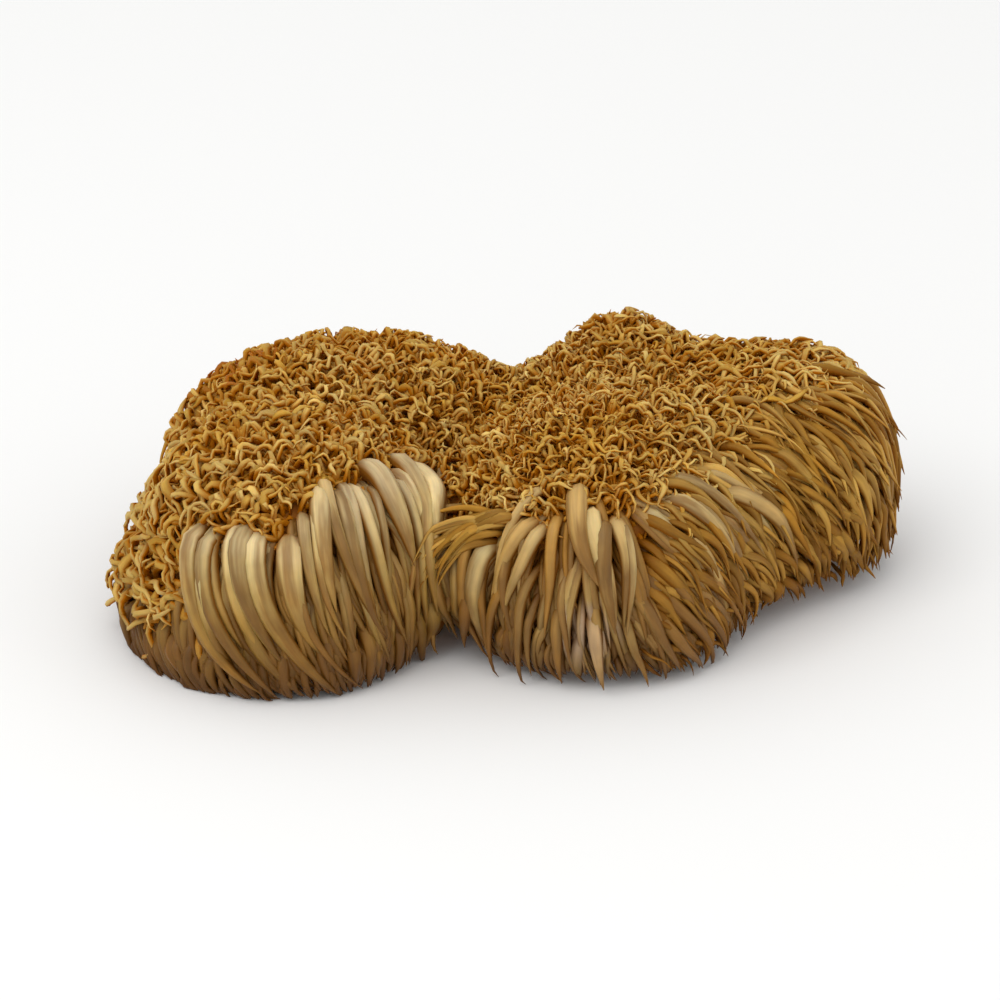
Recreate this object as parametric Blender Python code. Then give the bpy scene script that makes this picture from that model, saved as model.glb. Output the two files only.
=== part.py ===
"""A dried lion's mane mushroom, one whole fruiting body, cut off flat where it grew.

A broad low cushion of flesh, two-lobed, with a flank to the right and a knoll behind. Short curled
spines cover its top, and long spines hang round its sides like a mane, down to the surface on which it
rests. Metres, +Z up, -Y is the front, and the origin is on the cut face, under the middle of the width.
"""

import math

import bmesh
import bpy
import numpy as np
from mathutils import Matrix

# Driving dimensions
HALF_WIDTH = 0.0565         # of the whole mushroom, along x
HALF_DEPTH = 0.0385         # along y
CROWN_HEIGHT = 0.0215       # of the top above the core
CORE_HEIGHT = 0.0150        # of the point from which the flesh swells, above the cut
SKIN_DEPTH = 0.0016         # how far the solid flesh lies inside the mane's outer form
UNDERCUT_HEIGHT = 0.0150    # height below which the flesh draws in to its foot
UNDERCUT_POWER = 1.3        # how suddenly it does so
FOOT_SHARE = 0.66           # the cut foot's width, as a share of what it would be without that
BLEND_POWER = 11.0          # how sharply one lobe meets the next
CROWN_POWER = 2.3           # roundness of a lobe above its middle: 2 is an ellipsoid
SKIRT_POWER = 4.5           # the same below its middle, where the mane hangs almost straight

# Each lobe is a centre and a half size, along x, y and z. Bridges fill the creases between maned lobes
MANED_LOBES = {
    "left front": ((-0.0300, -0.0113, 0.0125), (0.0210, 0.0250, 0.0190)),
    "left toe": ((-0.0375, -0.0068, 0.0025), (0.0190, 0.0265, 0.0175)),
    "right front": ((0.0120, -0.0103, 0.0145), (0.0215, 0.0230, 0.0175)),
    "right flank": ((0.0335, 0.0122, 0.0135), (0.0220, 0.0195, 0.0160)),
    "left back": ((-0.0220, 0.0137, 0.0120), (0.0275, 0.0220, 0.0195)),
    "right back": ((0.0185, 0.0157, 0.0125), (0.0215, 0.0200, 0.0185)),
}
BRIDGES = {
    "right shoulder": ((0.0260, -0.0013, 0.0165), (0.0165, 0.0165, 0.0135)),
    "valley": ((-0.0060, -0.0133, 0.0150), (0.0110, 0.0115, 0.0085)),
}
KNOLLS = {
    "back knoll": ((0.0160, 0.0227, 0.0200), (0.0080, 0.0095, 0.0125)),
    "right knoll": ((0.0410, 0.0097, 0.0190), (0.0125, 0.0185, 0.0120)),
}
LOBES = MANED_LOBES | BRIDGES | KNOLLS

# The mane hangs in rows round each lobe. A slope is measured up from the lobe's rim, 90 at its top
LOCK_ROWS = (
    # slope of the roots in degrees, gap from lock to lock, root thickness
    (47.0, 0.0063, 0.0054),
    (20.0, 0.0125, 0.0050),
)
FALL_STRETCH = 1.12         # a lock's length, as a multiple of the height through which it falls
CLEARANCE = 1.05            # how far outside the other lobes a lock has to root, 1 at their surface
SWEEP_PLACES = (-0.050, -0.010, 0.008, 0.040)
SWEEPS = (0.60, 0.10, 0.0, 0.45)            # how far the front's locks lean to the right, at those x
TIP_PLACES = (-0.060, 0.012, 0.030, 0.050)
TIP_HEIGHTS = (0.0006, 0.0010, 0.0020, 0.0030)      # where a lock ends above the cut, at those x
LOCK_STEPS = 3              # straight stretches of a lock
STRIDES = 4                 # strides worked out for each stretch
TIP_SHARE = 0.45            # a lock's tip, as a share of its root thickness
KNUCKLE_HEIGHT = 0.0022     # how far a lock stands out where it bends over, near its root
KNUCKLE_SHARE = 0.30        # how far along it that is
LOCK_DEPTH = 0.0010         # how far under the form the line of a lock's lower part lies
CURL_COUNT = 130
CURL_LENGTH = 0.0074
CURL_THICKNESS = 0.0032
CURL_HEIGHTS = (-0.0016, 0.0009, 0.0002)    # of a curl's root, bend and tip above the form
CURL_FACING = 0.80          # how far up the form faces where curls grow: 1 is straight up
CURL_LOWEST_SLOPE = 12.0
SEED = 7

FLESH_COLOUR = (0.42, 0.25, 0.08, 1.0)
TABLE_SIZE = 0.2
SMALL = 1e-9

rng = np.random.default_rng(SEED)
core = np.array([0.0, 0.0, CORE_HEIGHT])
proportions = np.array([HALF_WIDTH, HALF_DEPTH, CROWN_HEIGHT])


def clear_scene():
    """Removes what is in the scene."""
    for obj in list(bpy.data.objects):
        bpy.data.objects.remove(obj, do_unlink=True)


def unit(vectors):
    """The same directions, one long."""
    return vectors / np.maximum(np.linalg.norm(vectors, axis=-1, keepdims=True), SMALL)


def gauge(points, centre, half):
    """How far out each point is in one lobe, 1 on its surface: an ellipsoid with a fuller, steeper skirt."""
    away = np.abs((points - np.array(centre)) / np.array(half))
    power = np.where(points[..., 2] > centre[2], CROWN_POWER, SKIRT_POWER)
    level = np.hypot(away[..., 0], away[..., 1])
    return (level**power + away[..., 2] ** power) ** (1 / power)


def fullness(points):
    """How far out each point is, 1 on the mane's outer form: a smooth union of the lobes."""
    inverse = sum(np.maximum(gauge(points, *lobe), 1e-3) ** -BLEND_POWER for lobe in LOBES.values())
    return inverse ** (-1 / BLEND_POWER)


def reach(directions):
    """Distance from the core to the mane's outer form along each direction, found by halving."""
    far = 1.6 * HALF_WIDTH
    shares = np.linspace(1.0, 0.0, 46)
    inside = np.zeros(directions.shape[:-1])
    for share in shares:
        hit = fullness(core + directions * far * share) < 1.0
        inside = np.where((inside == 0) & hit, far * share, inside)
    low, high = inside, inside + far * shares[-2]
    for _ in range(14):
        middle = (low + high) / 2
        hit = fullness(core + directions * middle[..., None]) < 1.0
        low, high = np.where(hit, middle, low), np.where(hit, high, middle)
    return (low + high) / 2


def steepness(points):
    """How fast the fullness rises at each point, along x, y and z."""
    step = 1e-5
    slopes = [
        fullness(points + np.eye(3)[axis] * step) - fullness(points - np.eye(3)[axis] * step)
        for axis in range(3)
    ]
    return np.stack(slopes, axis=-1) / (2 * step)


def outward(points):
    """The outer form's normal at each point."""
    return unit(steepness(points))


def on_form(points):
    """The points moved straight to the mane's outer form, in a few steps."""
    for _ in range(4):
        slope = steepness(points)
        excess = fullness(points) - 1
        points = points - slope * (excess / (slope**2).sum(axis=-1))[:, None]
    return points


def form_point(azimuth, slope):
    """Points of the outer form, in degrees: azimuth -90 is the front, and slope is from the rim up."""
    a, s = np.radians(azimuth), np.radians(slope)
    ball = np.stack([np.cos(a) * np.cos(s), np.sin(a) * np.cos(s), np.sin(s)], axis=-1)
    ray = unit(ball * proportions)
    return core + ray * reach(ray)[:, None]


def comb(points, length, sweep, heights):
    """Lines that follow the form downhill from the points, with a sweep to one side.

    Each line takes one stride for each height after the first, along the form, and lies that height
    above it, so a height below zero is inside the flesh.
    """
    stride = (length / (len(heights) - 1))[:, None]
    lines = [points + outward(points) * heights[0]]
    for height in heights[1:]:
        normal = outward(points)
        way = np.array([0.0, 0.0, -1.0]) + sweep
        way = unit(way - (way * normal).sum(axis=1)[:, None] * normal)
        points = on_form(points + way * stride)
        lines.append(points + outward(points) * height)
    return np.stack(lines, axis=1)


def ring(centre, half, slope, gap):
    """Points round one lobe at a slope, evenly spaced, where no other lobe covers them."""
    turn = np.radians(np.linspace(0, 360, 361))
    level = math.cos(math.radians(slope)) ** (2 / CROWN_POWER)
    rise = math.sin(math.radians(slope)) ** (2 / CROWN_POWER)
    across = np.stack([np.cos(turn) * level, np.sin(turn) * level, np.full(turn.shape, rise)], axis=-1)
    round_it = np.array(centre) + np.array(half) * across
    walked = np.concatenate([[0], np.cumsum(np.linalg.norm(np.diff(round_it, axis=0), axis=1))])
    count = round(walked[-1] / gap)
    stops = (np.arange(count) + rng.uniform(-0.2, 0.2, count)) * walked[-1] / count
    points = np.stack([np.interp(stops % walked[-1], walked, line) for line in round_it.T], axis=-1)
    others = [lobe for lobe in MANED_LOBES.values() if lobe != (centre, half)]
    bare = np.min([gauge(points, *lobe) for lobe in others], axis=0) > CLEARANCE
    return points[bare]


def lock_lines():
    """The hanging locks: their lines, and the thickness at each root."""
    lines, thickness = [], []
    share = np.linspace(0, 1, LOCK_STEPS * STRIDES + 1)
    heights = KNUCKLE_HEIGHT * np.minimum(share / KNUCKLE_SHARE, 1) * (1 - share)
    heights = heights - SKIN_DEPTH * (1 - share) - LOCK_DEPTH * share
    for slope, gap, thick in LOCK_ROWS:
        roots = on_form(np.concatenate([ring(*lobe, slope, gap) for lobe in MANED_LOBES.values()]))
        count = len(roots)
        in_front = np.clip(-outward(roots)[:, 1] / 0.3, 0, 1)
        sweep = np.zeros((count, 3))
        sweep[:, 0] = in_front * np.interp(roots[:, 0], SWEEP_PLACES, SWEEPS) + rng.normal(0, 0.08, count)
        fall = roots[:, 2] - np.interp(roots[:, 0], TIP_PLACES, TIP_HEIGHTS)
        long = FALL_STRETCH * fall * rng.uniform(0.9, 1.05, count)
        lines.append(comb(roots, long, sweep, heights)[:, ::STRIDES])
        thickness.append(thick * rng.uniform(0.85, 1.1, count))
    return np.concatenate(lines), np.concatenate(thickness)


def curl_lines():
    """The short curled spines on top, spread evenly by the golden angle."""
    turn = math.pi * (3 - math.sqrt(5))
    lowest = math.sin(math.radians(CURL_LOWEST_SLOPE))
    index = np.arange(CURL_COUNT) + 0.5
    rise = 1 - (1 - lowest) * index / CURL_COUNT
    roots = form_point(np.degrees(index * turn), np.degrees(np.arcsin(rise)))
    roots = roots[outward(roots)[:, 2] > CURL_FACING]
    count = len(roots)
    sweep = rng.normal(0, 2, (count, 3))
    long = CURL_LENGTH * rng.uniform(0.8, 1.2, count)
    return comb(roots, long, sweep, CURL_HEIGHTS), CURL_THICKNESS * rng.uniform(0.85, 1.15, count)


def flesh_mesh():
    """The solid flesh: a ball of triangles, each corner moved out along its own direction.

    Below the undercut's height it draws in towards the middle, down to the foot that was cut.
    """
    made = bmesh.new()
    bmesh.ops.create_icosphere(made, subdivisions=3, radius=1.0)
    directions = unit(np.array([corner.co for corner in made.verts]) * proportions)
    placed = core + directions * (reach(directions) - SKIN_DEPTH)[:, None]
    low = np.clip(1 - placed[:, 2] / UNDERCUT_HEIGHT, 0, 1)
    placed[:, :2] *= 1 - (1 - FOOT_SHARE) * low[:, None] ** UNDERCUT_POWER
    for corner, place in zip(made.verts, placed):
        corner.co = place
    mesh = bpy.data.meshes.new("flesh")
    made.to_mesh(mesh)
    made.free()
    return mesh


def helper(name, mesh, collection):
    """An object that shapes another and isn't a part of the mushroom."""
    made = bpy.data.objects.new(name, mesh)
    collection.objects.link(made)
    made.hide_render = True
    made.display_type = "WIRE"
    return made


def spine(line, thickness, collection):
    """One tapered tube along a line of points, as a closed mesh."""
    curve = bpy.data.curves.new("spine", "CURVE")
    curve.dimensions = "3D"
    curve.bevel_depth = thickness / 2
    curve.bevel_resolution = 0
    curve.use_fill_caps = True
    spline = curve.splines.new("POLY")
    last = len(line) - 1
    spline.points.add(last)
    for number, point in enumerate(line):
        spline.points[number].co = (*point, 1.0)
        spline.points[number].radius = 1 - (1 - TIP_SHARE) * (number / last) ** 1.4
    drawn = bpy.data.objects.new("spine", curve)
    collection.objects.link(drawn)
    graph = bpy.context.evaluated_depsgraph_get()
    mesh = bpy.data.meshes.new_from_object(drawn.evaluated_get(graph))
    bpy.data.objects.remove(drawn)
    welded = bmesh.new()
    welded.from_mesh(mesh)
    bmesh.ops.remove_doubles(welded, verts=welded.verts, dist=1e-6)
    bmesh.ops.recalc_face_normals(welded, faces=welded.faces)
    welded.to_mesh(mesh)
    welded.free()
    return helper("spine", mesh, collection)


def table(collection):
    """The block below the resting surface, which cuts the foot flat."""
    made = bmesh.new()
    bmesh.ops.create_cube(made, size=TABLE_SIZE)
    bmesh.ops.translate(made, verts=made.verts, vec=(0, 0, -TABLE_SIZE / 2))
    mesh = bpy.data.meshes.new("table")
    made.to_mesh(mesh)
    made.free()
    return helper("table", mesh, collection)


def boolean(obj, other, operation):
    """Joins another object to this one, or cuts it away, and applies it."""
    modifier = obj.modifiers.new(operation.lower(), "BOOLEAN")
    modifier.operation = operation
    modifier.solver = "MANIFOLD"
    modifier.object = other
    graph = bpy.context.evaluated_depsgraph_get()
    mesh = bpy.data.meshes.new_from_object(obj.evaluated_get(graph))
    obj.modifiers.clear()
    obj.data = mesh


def keep_outer_skin(mesh):
    """Leaves only the largest connected surface, so that a pocket closed in between spines is solid."""
    made = bmesh.new()
    made.from_mesh(mesh)
    unseen = set(made.faces)
    skins = []
    while unseen:
        skin, front = set(), [unseen.pop()]
        while front:
            face = front.pop()
            skin.add(face)
            near = {other for edge in face.edges for other in edge.link_faces} & unseen
            unseen -= near
            front.extend(near)
        skins.append(skin)
    largest = max(skins, key=len)
    bmesh.ops.delete(made, geom=[face for face in made.faces if face not in largest], context="FACES")
    made.to_mesh(mesh)
    made.free()


def centre_over_origin(mesh):
    """Moves the mesh so that the middle of its width and of its depth is over the origin."""
    corners = np.array([corner.co for corner in mesh.vertices])
    middle = (corners.min(axis=0) + corners.max(axis=0)) / 2
    mesh.transform(Matrix.Translation((-middle[0], -middle[1], 0.0)))


def flesh_material():
    """Dry golden flesh, matt."""
    material = bpy.data.materials.new("dried flesh")
    material.use_nodes = True
    shader = material.node_tree.nodes["Principled BSDF"]
    shader.inputs["Base Color"].default_value = FLESH_COLOUR
    shader.inputs["Roughness"].default_value = 0.75
    shader.inputs["Metallic"].default_value = 0.0
    return material


def main():
    """Builds the mushroom."""
    clear_scene()
    parts = bpy.data.collections.new("lions_mane_mushroom")
    tools = bpy.data.collections.new("cutters")
    for collection in (parts, tools):
        bpy.context.scene.collection.children.link(collection)
    body = bpy.data.objects.new("fruiting_body", flesh_mesh())
    parts.objects.link(body)
    for lines, thickness in (lock_lines(), curl_lines()):
        for line, thick in zip(lines, thickness):
            boolean(body, spine(line, thick, tools), "UNION")
    boolean(body, table(tools), "DIFFERENCE")
    keep_outer_skin(body.data)
    centre_over_origin(body.data)
    body.data.materials.clear()
    body.data.materials.append(flesh_material())
    body.data.shade_flat()


main()
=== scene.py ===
"""A dried lion's mane mushroom: golden curls over its top and a pale mane of long spines round its sides.

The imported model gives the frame. The looks are a body of flesh under several thousand spines, each a tube
worked out as whole arrays: its line runs over one smooth outer form, which is a union of lobes, and the
tube's rings are carried along that line. Metres, +Z up, -Y is the front.
"""

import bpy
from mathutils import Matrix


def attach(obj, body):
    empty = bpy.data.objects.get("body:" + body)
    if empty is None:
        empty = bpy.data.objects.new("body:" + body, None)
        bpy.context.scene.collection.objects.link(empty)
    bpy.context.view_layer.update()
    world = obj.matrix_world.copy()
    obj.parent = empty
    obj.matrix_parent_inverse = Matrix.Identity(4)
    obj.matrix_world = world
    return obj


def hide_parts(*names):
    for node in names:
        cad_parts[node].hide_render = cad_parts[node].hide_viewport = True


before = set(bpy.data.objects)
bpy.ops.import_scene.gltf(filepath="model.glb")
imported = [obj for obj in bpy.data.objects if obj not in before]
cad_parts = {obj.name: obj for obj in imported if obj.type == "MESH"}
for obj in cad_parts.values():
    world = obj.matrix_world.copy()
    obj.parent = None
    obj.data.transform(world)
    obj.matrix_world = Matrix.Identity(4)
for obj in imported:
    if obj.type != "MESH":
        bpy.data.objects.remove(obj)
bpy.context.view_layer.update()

import logging
import math
from dataclasses import dataclass, replace
from enum import Enum

import bpy
import numpy as np
from mathutils import Vector, kdtree
from numpy.typing import NDArray

Array = NDArray[np.float64]
Whole = NDArray[np.int32]
Mask = NDArray[np.bool_]
Pair = tuple[float, float]
Triple = tuple[float, float, float]
Row = tuple[float, ...]
Chance = np.random.Generator
Socket = bpy.types.NodeSocket
Colour = tuple[int, int, int]                   # as seen, 0 to 255
Stops = tuple[tuple[float, Colour], ...]        # shares along a spine, and the colours there

MM = 0.001
SMALL = 1e-9
ABOUT_A_TURN = 6.3          # in radians: the waves' phases are drawn up to it
NODE = "fruiting_body"
BODY = "root"
MAP_NAME = "OFBake"
# The height in GROWTH sets the painted shade in the gaps and the painted highlights on what stands out.
GROWTH = "growth"           # colour attribute: share along the spine, tone, height, warmth
FIBRE = "fibre"             # vector attribute: places that follow a spine's fibres, in millimetres

CORE_HEIGHT = 15.0 * MM
CROWN_POWER = 2.3           # roundness of a lobe above its middle: 2 is an ellipsoid
SKIRT_POWER = 4.5           # the same below its middle, where the mane hangs almost straight
BLEND_POWER = 11.0          # how sharply one lobe meets the next
LEAST_GAUGE = 1e-3          # keeps a lobe's very middle out of a division
LEAST_SLOPE = 1.0           # keeps the flat places deep inside the form out of one
LOWEST_ROOTS = -32.0        # slope from the core, in degrees, under which no spine roots
BAND_CLOSES = (4.0 * MM, 15.0 * MM)     # y between which the band of sparse curls closes
TUBE_REACH = 1.08           # how far a tube goes from its line with its lumps, in radii
FLOOR_GAP = 0.02 * MM
HEIGHT_FROM = -4.0 * MM     # height over the form that counts as 0 in GROWTH
HEIGHT_SPAN = 6.0 * MM      # from there to the height that counts as 1

log = logging.getLogger("mushroom")


# ---- Small sums on arrays ----


def unit(vectors: Array) -> Array:
    """The same directions, one long."""
    return vectors / np.maximum(np.linalg.norm(vectors, axis=-1, keepdims=True), SMALL)


def smooth_step(values: Array, low: float, high: float) -> Array:
    """0 below low, 1 above high, and a smooth rise between: 3t squared less 2t cubed."""
    t = np.clip((values - low) / (high - low), 0.0, 1.0)
    return t * t * (3 - 2 * t)


def linear(red: float, green: float, blue: float) -> tuple[float, float, float, float]:
    """A colour in the shader's linear values, by the standard curve of screens.

    Args:
        red: Its red as seen, 0 to 255.
        green: Its green.
        blue: Its blue.

    Returns:
        Red, green, blue and an alpha of 1.
    """
    seen = np.array([red, green, blue]) / 255.0
    made = np.where(seen <= 0.04045, seen / 12.92, ((seen + 0.055) / 1.055) ** 2.4)
    return (float(made[0]), float(made[1]), float(made[2]), 1.0)


def drift(points: Array, size: float, seed: float) -> Array:
    """A slow, smooth variation over space, about -1 to 1: three crossing waves of sines.

    Args:
        points: Places, (..., 3).
        size: The length of one wave, in metres.
        seed: Shifts the waves, so that two variations differ.

    Returns:
        One value a place.
    """
    x, y, z = np.moveaxis(points * (2 * math.pi / size), -1, 0)
    first = np.sin(x + 1.7 * np.sin(0.6 * y + seed) + seed)
    second = np.sin(1.2 * y - 0.5 * x + 1.3 * np.sin(0.8 * z + 2 * seed) + 3 * seed)
    third = np.sin(1.1 * z + 0.7 * x + 0.4 * y + 5 * seed)
    return (first + second + third) / 2.2       # mostly within -1 to 1


def varied(middle: float, chance: float, slow: Triple, roots: Array, rng: Chance) -> Array:
    """A value a spine: by chance, and by a slow drift, given as its reach, its length and its seed."""
    reach, size, seed = slow
    return middle + chance * rng.normal(0, 1, len(roots)) + reach * drift(roots, size, seed)


# ---- The outer form ----


@dataclass(frozen=True)
class Lobe:
    """One swelling of the mushroom: an ellipsoid with a fuller, steeper skirt."""

    centre: Triple
    half: Triple

    def gauge(self, points: Array) -> Array:
        """How far out each point is, 1 on the lobe's surface.

        Its level distance and its rise, as shares of the half sizes, are raised to a power and summed, and
        the root is taken.

        Args:
            points: Places, (..., 3).

        Returns:
            One value a place.
        """
        away = np.abs((points - np.array(self.centre)) / np.array(self.half))
        power = np.where(points[..., 2] > self.centre[2], CROWN_POWER, SKIRT_POWER)
        level = np.hypot(away[..., 0], away[..., 1])
        return (level**power + away[..., 2] ** power) ** (1 / power)


LOBES = {
    "left front": Lobe((-0.0300, -0.0113, 0.0125), (0.0210, 0.0250, 0.0190)),
    "left toe": Lobe((-0.0375, -0.0068, 0.0025), (0.0190, 0.0265, 0.0175)),
    "right front": Lobe((0.0120, -0.0103, 0.0145), (0.0215, 0.0230, 0.0175)),
    "right flank": Lobe((0.0335, 0.0122, 0.0135), (0.0220, 0.0195, 0.0160)),
    "left back": Lobe((-0.0220, 0.0137, 0.0120), (0.0275, 0.0220, 0.0195)),
    "right back": Lobe((0.0185, 0.0157, 0.0125), (0.0215, 0.0200, 0.0185)),
    "right shoulder": Lobe((0.0260, -0.0013, 0.0165), (0.0165, 0.0165, 0.0135)),
    "valley": Lobe((-0.0060, -0.0133, 0.0150), (0.0110, 0.0115, 0.0085)),
    "back knoll": Lobe((0.0160, 0.0227, 0.0200), (0.0080, 0.0095, 0.0125)),
    "right knoll": Lobe((0.0410, 0.0097, 0.0190), (0.0125, 0.0185, 0.0120)),
}


@dataclass(frozen=True)
class OuterForm:
    """The smooth surface that the tips and backs of the spines reach: the lobes, blended."""

    lobes: tuple[Lobe, ...]
    proportions: Triple = (0.0565, 0.0385, 0.0215)
    beyond: float = 1.6             # where a search along a ray starts, outside the form, in half widths
    looks: int = 46                 # places that it tries on its way in
    ray_halvings: int = 14
    heights: Pair = (2 * MM, 45 * MM)   # between which a search straight up starts
    rise_halvings: int = 18
    patches: tuple[int, int] = (120, 240)   # rows and columns of the grid on which places are drawn

    def fullness(self, points: Array) -> Array:
        """How far out each point is, 1 on the form: the gauges' powers, summed and rooted."""
        inverse = sum(np.maximum(lobe.gauge(points), LEAST_GAUGE) ** -BLEND_POWER for lobe in self.lobes)
        return inverse ** (-1 / BLEND_POWER)

    def steepness(self, points: Array) -> Array:
        """How fast the fullness rises at each point, by small differences.

        Args:
            points: Places, (..., 3).

        Returns:
            Its slopes along x, y and z, (..., 3).
        """
        step = 1e-5
        slopes = [
            self.fullness(points + np.eye(3)[axis] * step) - self.fullness(points - np.eye(3)[axis] * step)
            for axis in range(3)
        ]
        return np.stack(slopes, axis=-1) / (2 * step)

    def outward(self, points: Array) -> Array:
        """The form's normal at each point."""
        return unit(self.steepness(points))

    def settle(self, points: Array, rounds: int) -> Array:
        """The points moved straight to the form, by a few of Newton's steps.

        Args:
            points: Places near the form, (..., 3).
            rounds: How many steps.

        Returns:
            The places on the form.
        """
        for _ in range(rounds):
            slope = self.steepness(points)
            excess = self.fullness(points) - 1
            points = points - slope * (excess / np.maximum((slope**2).sum(axis=-1), LEAST_SLOPE))[..., None]
        return points

    def reach(self, directions: Array) -> Array:
        """Distance from the core to the form along each direction.

        Places are tried from outside inwards until one is inside, and then the gap before it is halved.

        Args:
            directions: The directions, one long, (..., 3).

        Returns:
            One distance a direction.
        """
        core = np.array([0.0, 0.0, CORE_HEIGHT])
        far = self.beyond * self.proportions[0]
        shares = np.linspace(1.0, 0.0, self.looks)
        inside = np.zeros(directions.shape[:-1])
        for share in shares:
            hit = self.fullness(core + directions * far * share) < 1.0
            inside = np.where((inside == 0) & hit, far * share, inside)
        low, high = inside, inside + far * shares[-2]
        for _ in range(self.ray_halvings):
            middle = (low + high) / 2
            hit = self.fullness(core + directions * middle[..., None]) < 1.0
            low, high = np.where(hit, middle, low), np.where(hit, high, middle)
        return (low + high) / 2

    def grid(self, rows: int, columns: int, lowest: float) -> Array:
        """Points of the form on a grid of slopes, from the lowest up to the top, and azimuths.

        Args:
            rows: How many slopes.
            columns: How many azimuths, once round.
            lowest: The lowest slope, in degrees.

        Returns:
            Places, (rows, columns, 3).
        """
        slope = np.radians(np.linspace(lowest, 90.0, rows))[:, None]
        azimuth = (np.arange(columns) * 2 * math.pi / columns)[None, :]
        ball = np.stack(
            [np.cos(slope) * np.cos(azimuth), np.cos(slope) * np.sin(azimuth), np.sin(slope) + 0 * azimuth],
            axis=-1,
        )
        ray = unit(ball * np.array(self.proportions))
        return np.array([0.0, 0.0, CORE_HEIGHT]) + ray * self.reach(ray)[..., None]

    def scatter(self, rng: Chance, count: int) -> Array:
        """Random points, as many on each patch of the form as its area asks for.

        A patch is four neighbours on the grid. It is drawn by its area, and the point in it by two shares.

        Args:
            rng: Draws the points.
            count: How many.

        Returns:
            Places, (count, 3).
        """
        corners = self.grid(*self.patches, LOWEST_ROOTS)
        below, above = corners[:-1], corners[1:]
        right_below, right_above = np.roll(below, -1, axis=1), np.roll(above, -1, axis=1)
        area = np.linalg.norm(np.cross(right_above - below, above - right_below), axis=-1).ravel()
        patch = rng.choice(area.size, size=count, p=area / area.sum())
        u, v = rng.random((2, count, 1))
        four = [side.reshape(-1, 3)[patch] for side in (below, right_below, above, right_above)]
        mixed = (four[0] * (1 - u) + four[1] * u) * (1 - v) + (four[2] * (1 - u) + four[3] * u) * v
        return self.settle(mixed, 2)

    def top(self, plan: Array) -> Array:
        """The form's points over places in plan, found by halving between the cut and the air.

        Args:
            plan: Places seen from above, (N, 2).

        Returns:
            The places on the form, (N, 3).
        """
        low, high = (np.full(len(plan), height) for height in self.heights)
        for _ in range(self.rise_halvings):
            middle = (low + high) / 2
            inside = self.fullness(np.column_stack([plan, middle])) < 1
            low, high = np.where(inside, middle, low), np.where(inside, high, middle)
        return np.column_stack([plan, (low + high) / 2])


FORM = OuterForm(tuple(LOBES.values()))


@dataclass(frozen=True)
class CrownEdge:
    """The closed line in plan where the curls on top end and the mane begins."""

    places: tuple[Pair, ...]                    # in millimetres, x and y, once round from the far left

    def corners(self) -> Array:
        """The places in metres, with the first one again at the end."""
        return np.array(self.places + self.places[:1]) * MM

    def inset(self, points: Array) -> Array:
        """How far inside the edge each point lies, seen from above.

        That is the distance to the nearest of the edge's pieces. A point is inside where a line from it
        towards +x crosses the edge an odd number of times.

        Args:
            points: Places, (N, 3).

        Returns:
            One distance a place, below zero outside the edge.
        """
        corners = self.corners()
        first, second = corners[:-1], corners[1:]
        plan = points[:, None, :2]
        step = second - first
        share = ((plan - first) * step).sum(axis=-1) / (step**2).sum(axis=-1)
        nearest = first + np.clip(share, 0, 1)[..., None] * step
        distance = np.linalg.norm(plan - nearest, axis=-1).min(axis=1)
        spans = (first[:, 1] > plan[..., 1]) != (second[:, 1] > plan[..., 1])
        rise = np.where(step[:, 1] == 0, SMALL, step[:, 1])
        crossing = first[:, 0] + (plan[..., 1] - first[:, 1]) / rise * step[:, 0]
        inside = (spans & (plan[..., 0] < crossing)).sum(axis=1) % 2 == 1
        return np.where(inside, distance, -distance)

    def row(
        self, start: int, stop: int, part: Pair, gap: float, stagger: float, rng: Chance
    ) -> Array:
        """Points on the form along a stretch of the edge, evenly spaced but a little out of line.

        Args:
            start: The number of the place where the stretch starts, counted from 0.
            stop: The number of the place where it stops.
            part: The shares of the stretch at which the points begin and end.
            gap: From point to point along it.
            stagger: How far the points are out of line.
            rng: Draws that.

        Returns:
            The points, (N, 3).
        """
        stretch = self.corners()[start : stop + 1]
        walked = np.concatenate([[0], np.cumsum(np.linalg.norm(np.diff(stretch, axis=0), axis=1))])
        count = round(walked[-1] * (part[1] - part[0]) / gap)
        share = (np.arange(count) + 0.5 + rng.uniform(-0.25, 0.25, count)) / count
        stops = (part[0] + share * (part[1] - part[0])) * walked[-1]
        plan = np.stack([np.interp(stops, walked, line) for line in stretch.T], axis=-1)
        return FORM.top(plan + rng.normal(0, stagger, plan.shape))


# The first two places lie outside the form, so that the curls run on over its left end.
EDGE = CrownEdge(
    (
        (-64.0, -18.0), (-52.0, -36.0), (-45.5, -25.3), (-38.5, -29.3), (-31.0, -31.3),
        (-27.5, -27.3), (-23.0, -22.8), (-18.5, -17.3), (-14.0, -10.8), (-10.5, -9.3),
        (-8.5, -15.3), (-6.0, -21.3), (-1.5, -25.8), (3.0, -26.8), (7.0, -27.8),
        (13.0, -26.8), (20.0, -24.3), (25.5, -21.8), (29.5, -13.8), (35.0, -3.3),
        (43.0, 3.2), (49.0, 10.7), (50.5, 19.5), (45.0, 27.2), (33.0, 32.2),
        (19.0, 33.2), (8.0, 30.7), (1.5, 26.7), (-5.0, 29.2), (-13.0, 32.2),
        (-23.0, 33.2), (-35.0, 31.2), (-44.0, 25.7), (-50.5, 15.7), (-54.5, 4.7),
        (-56.5, -4.3),
    )
)


def sparse(points: Array, places: Row, widths: Row) -> Array:
    """The width of the band in which curls give way to the mane, from widths in mm at places along x."""
    width = np.interp(points[:, 0] / MM, places, widths) * MM
    return width * (1 - smooth_step(points[:, 1], *BAND_CLOSES))


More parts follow.
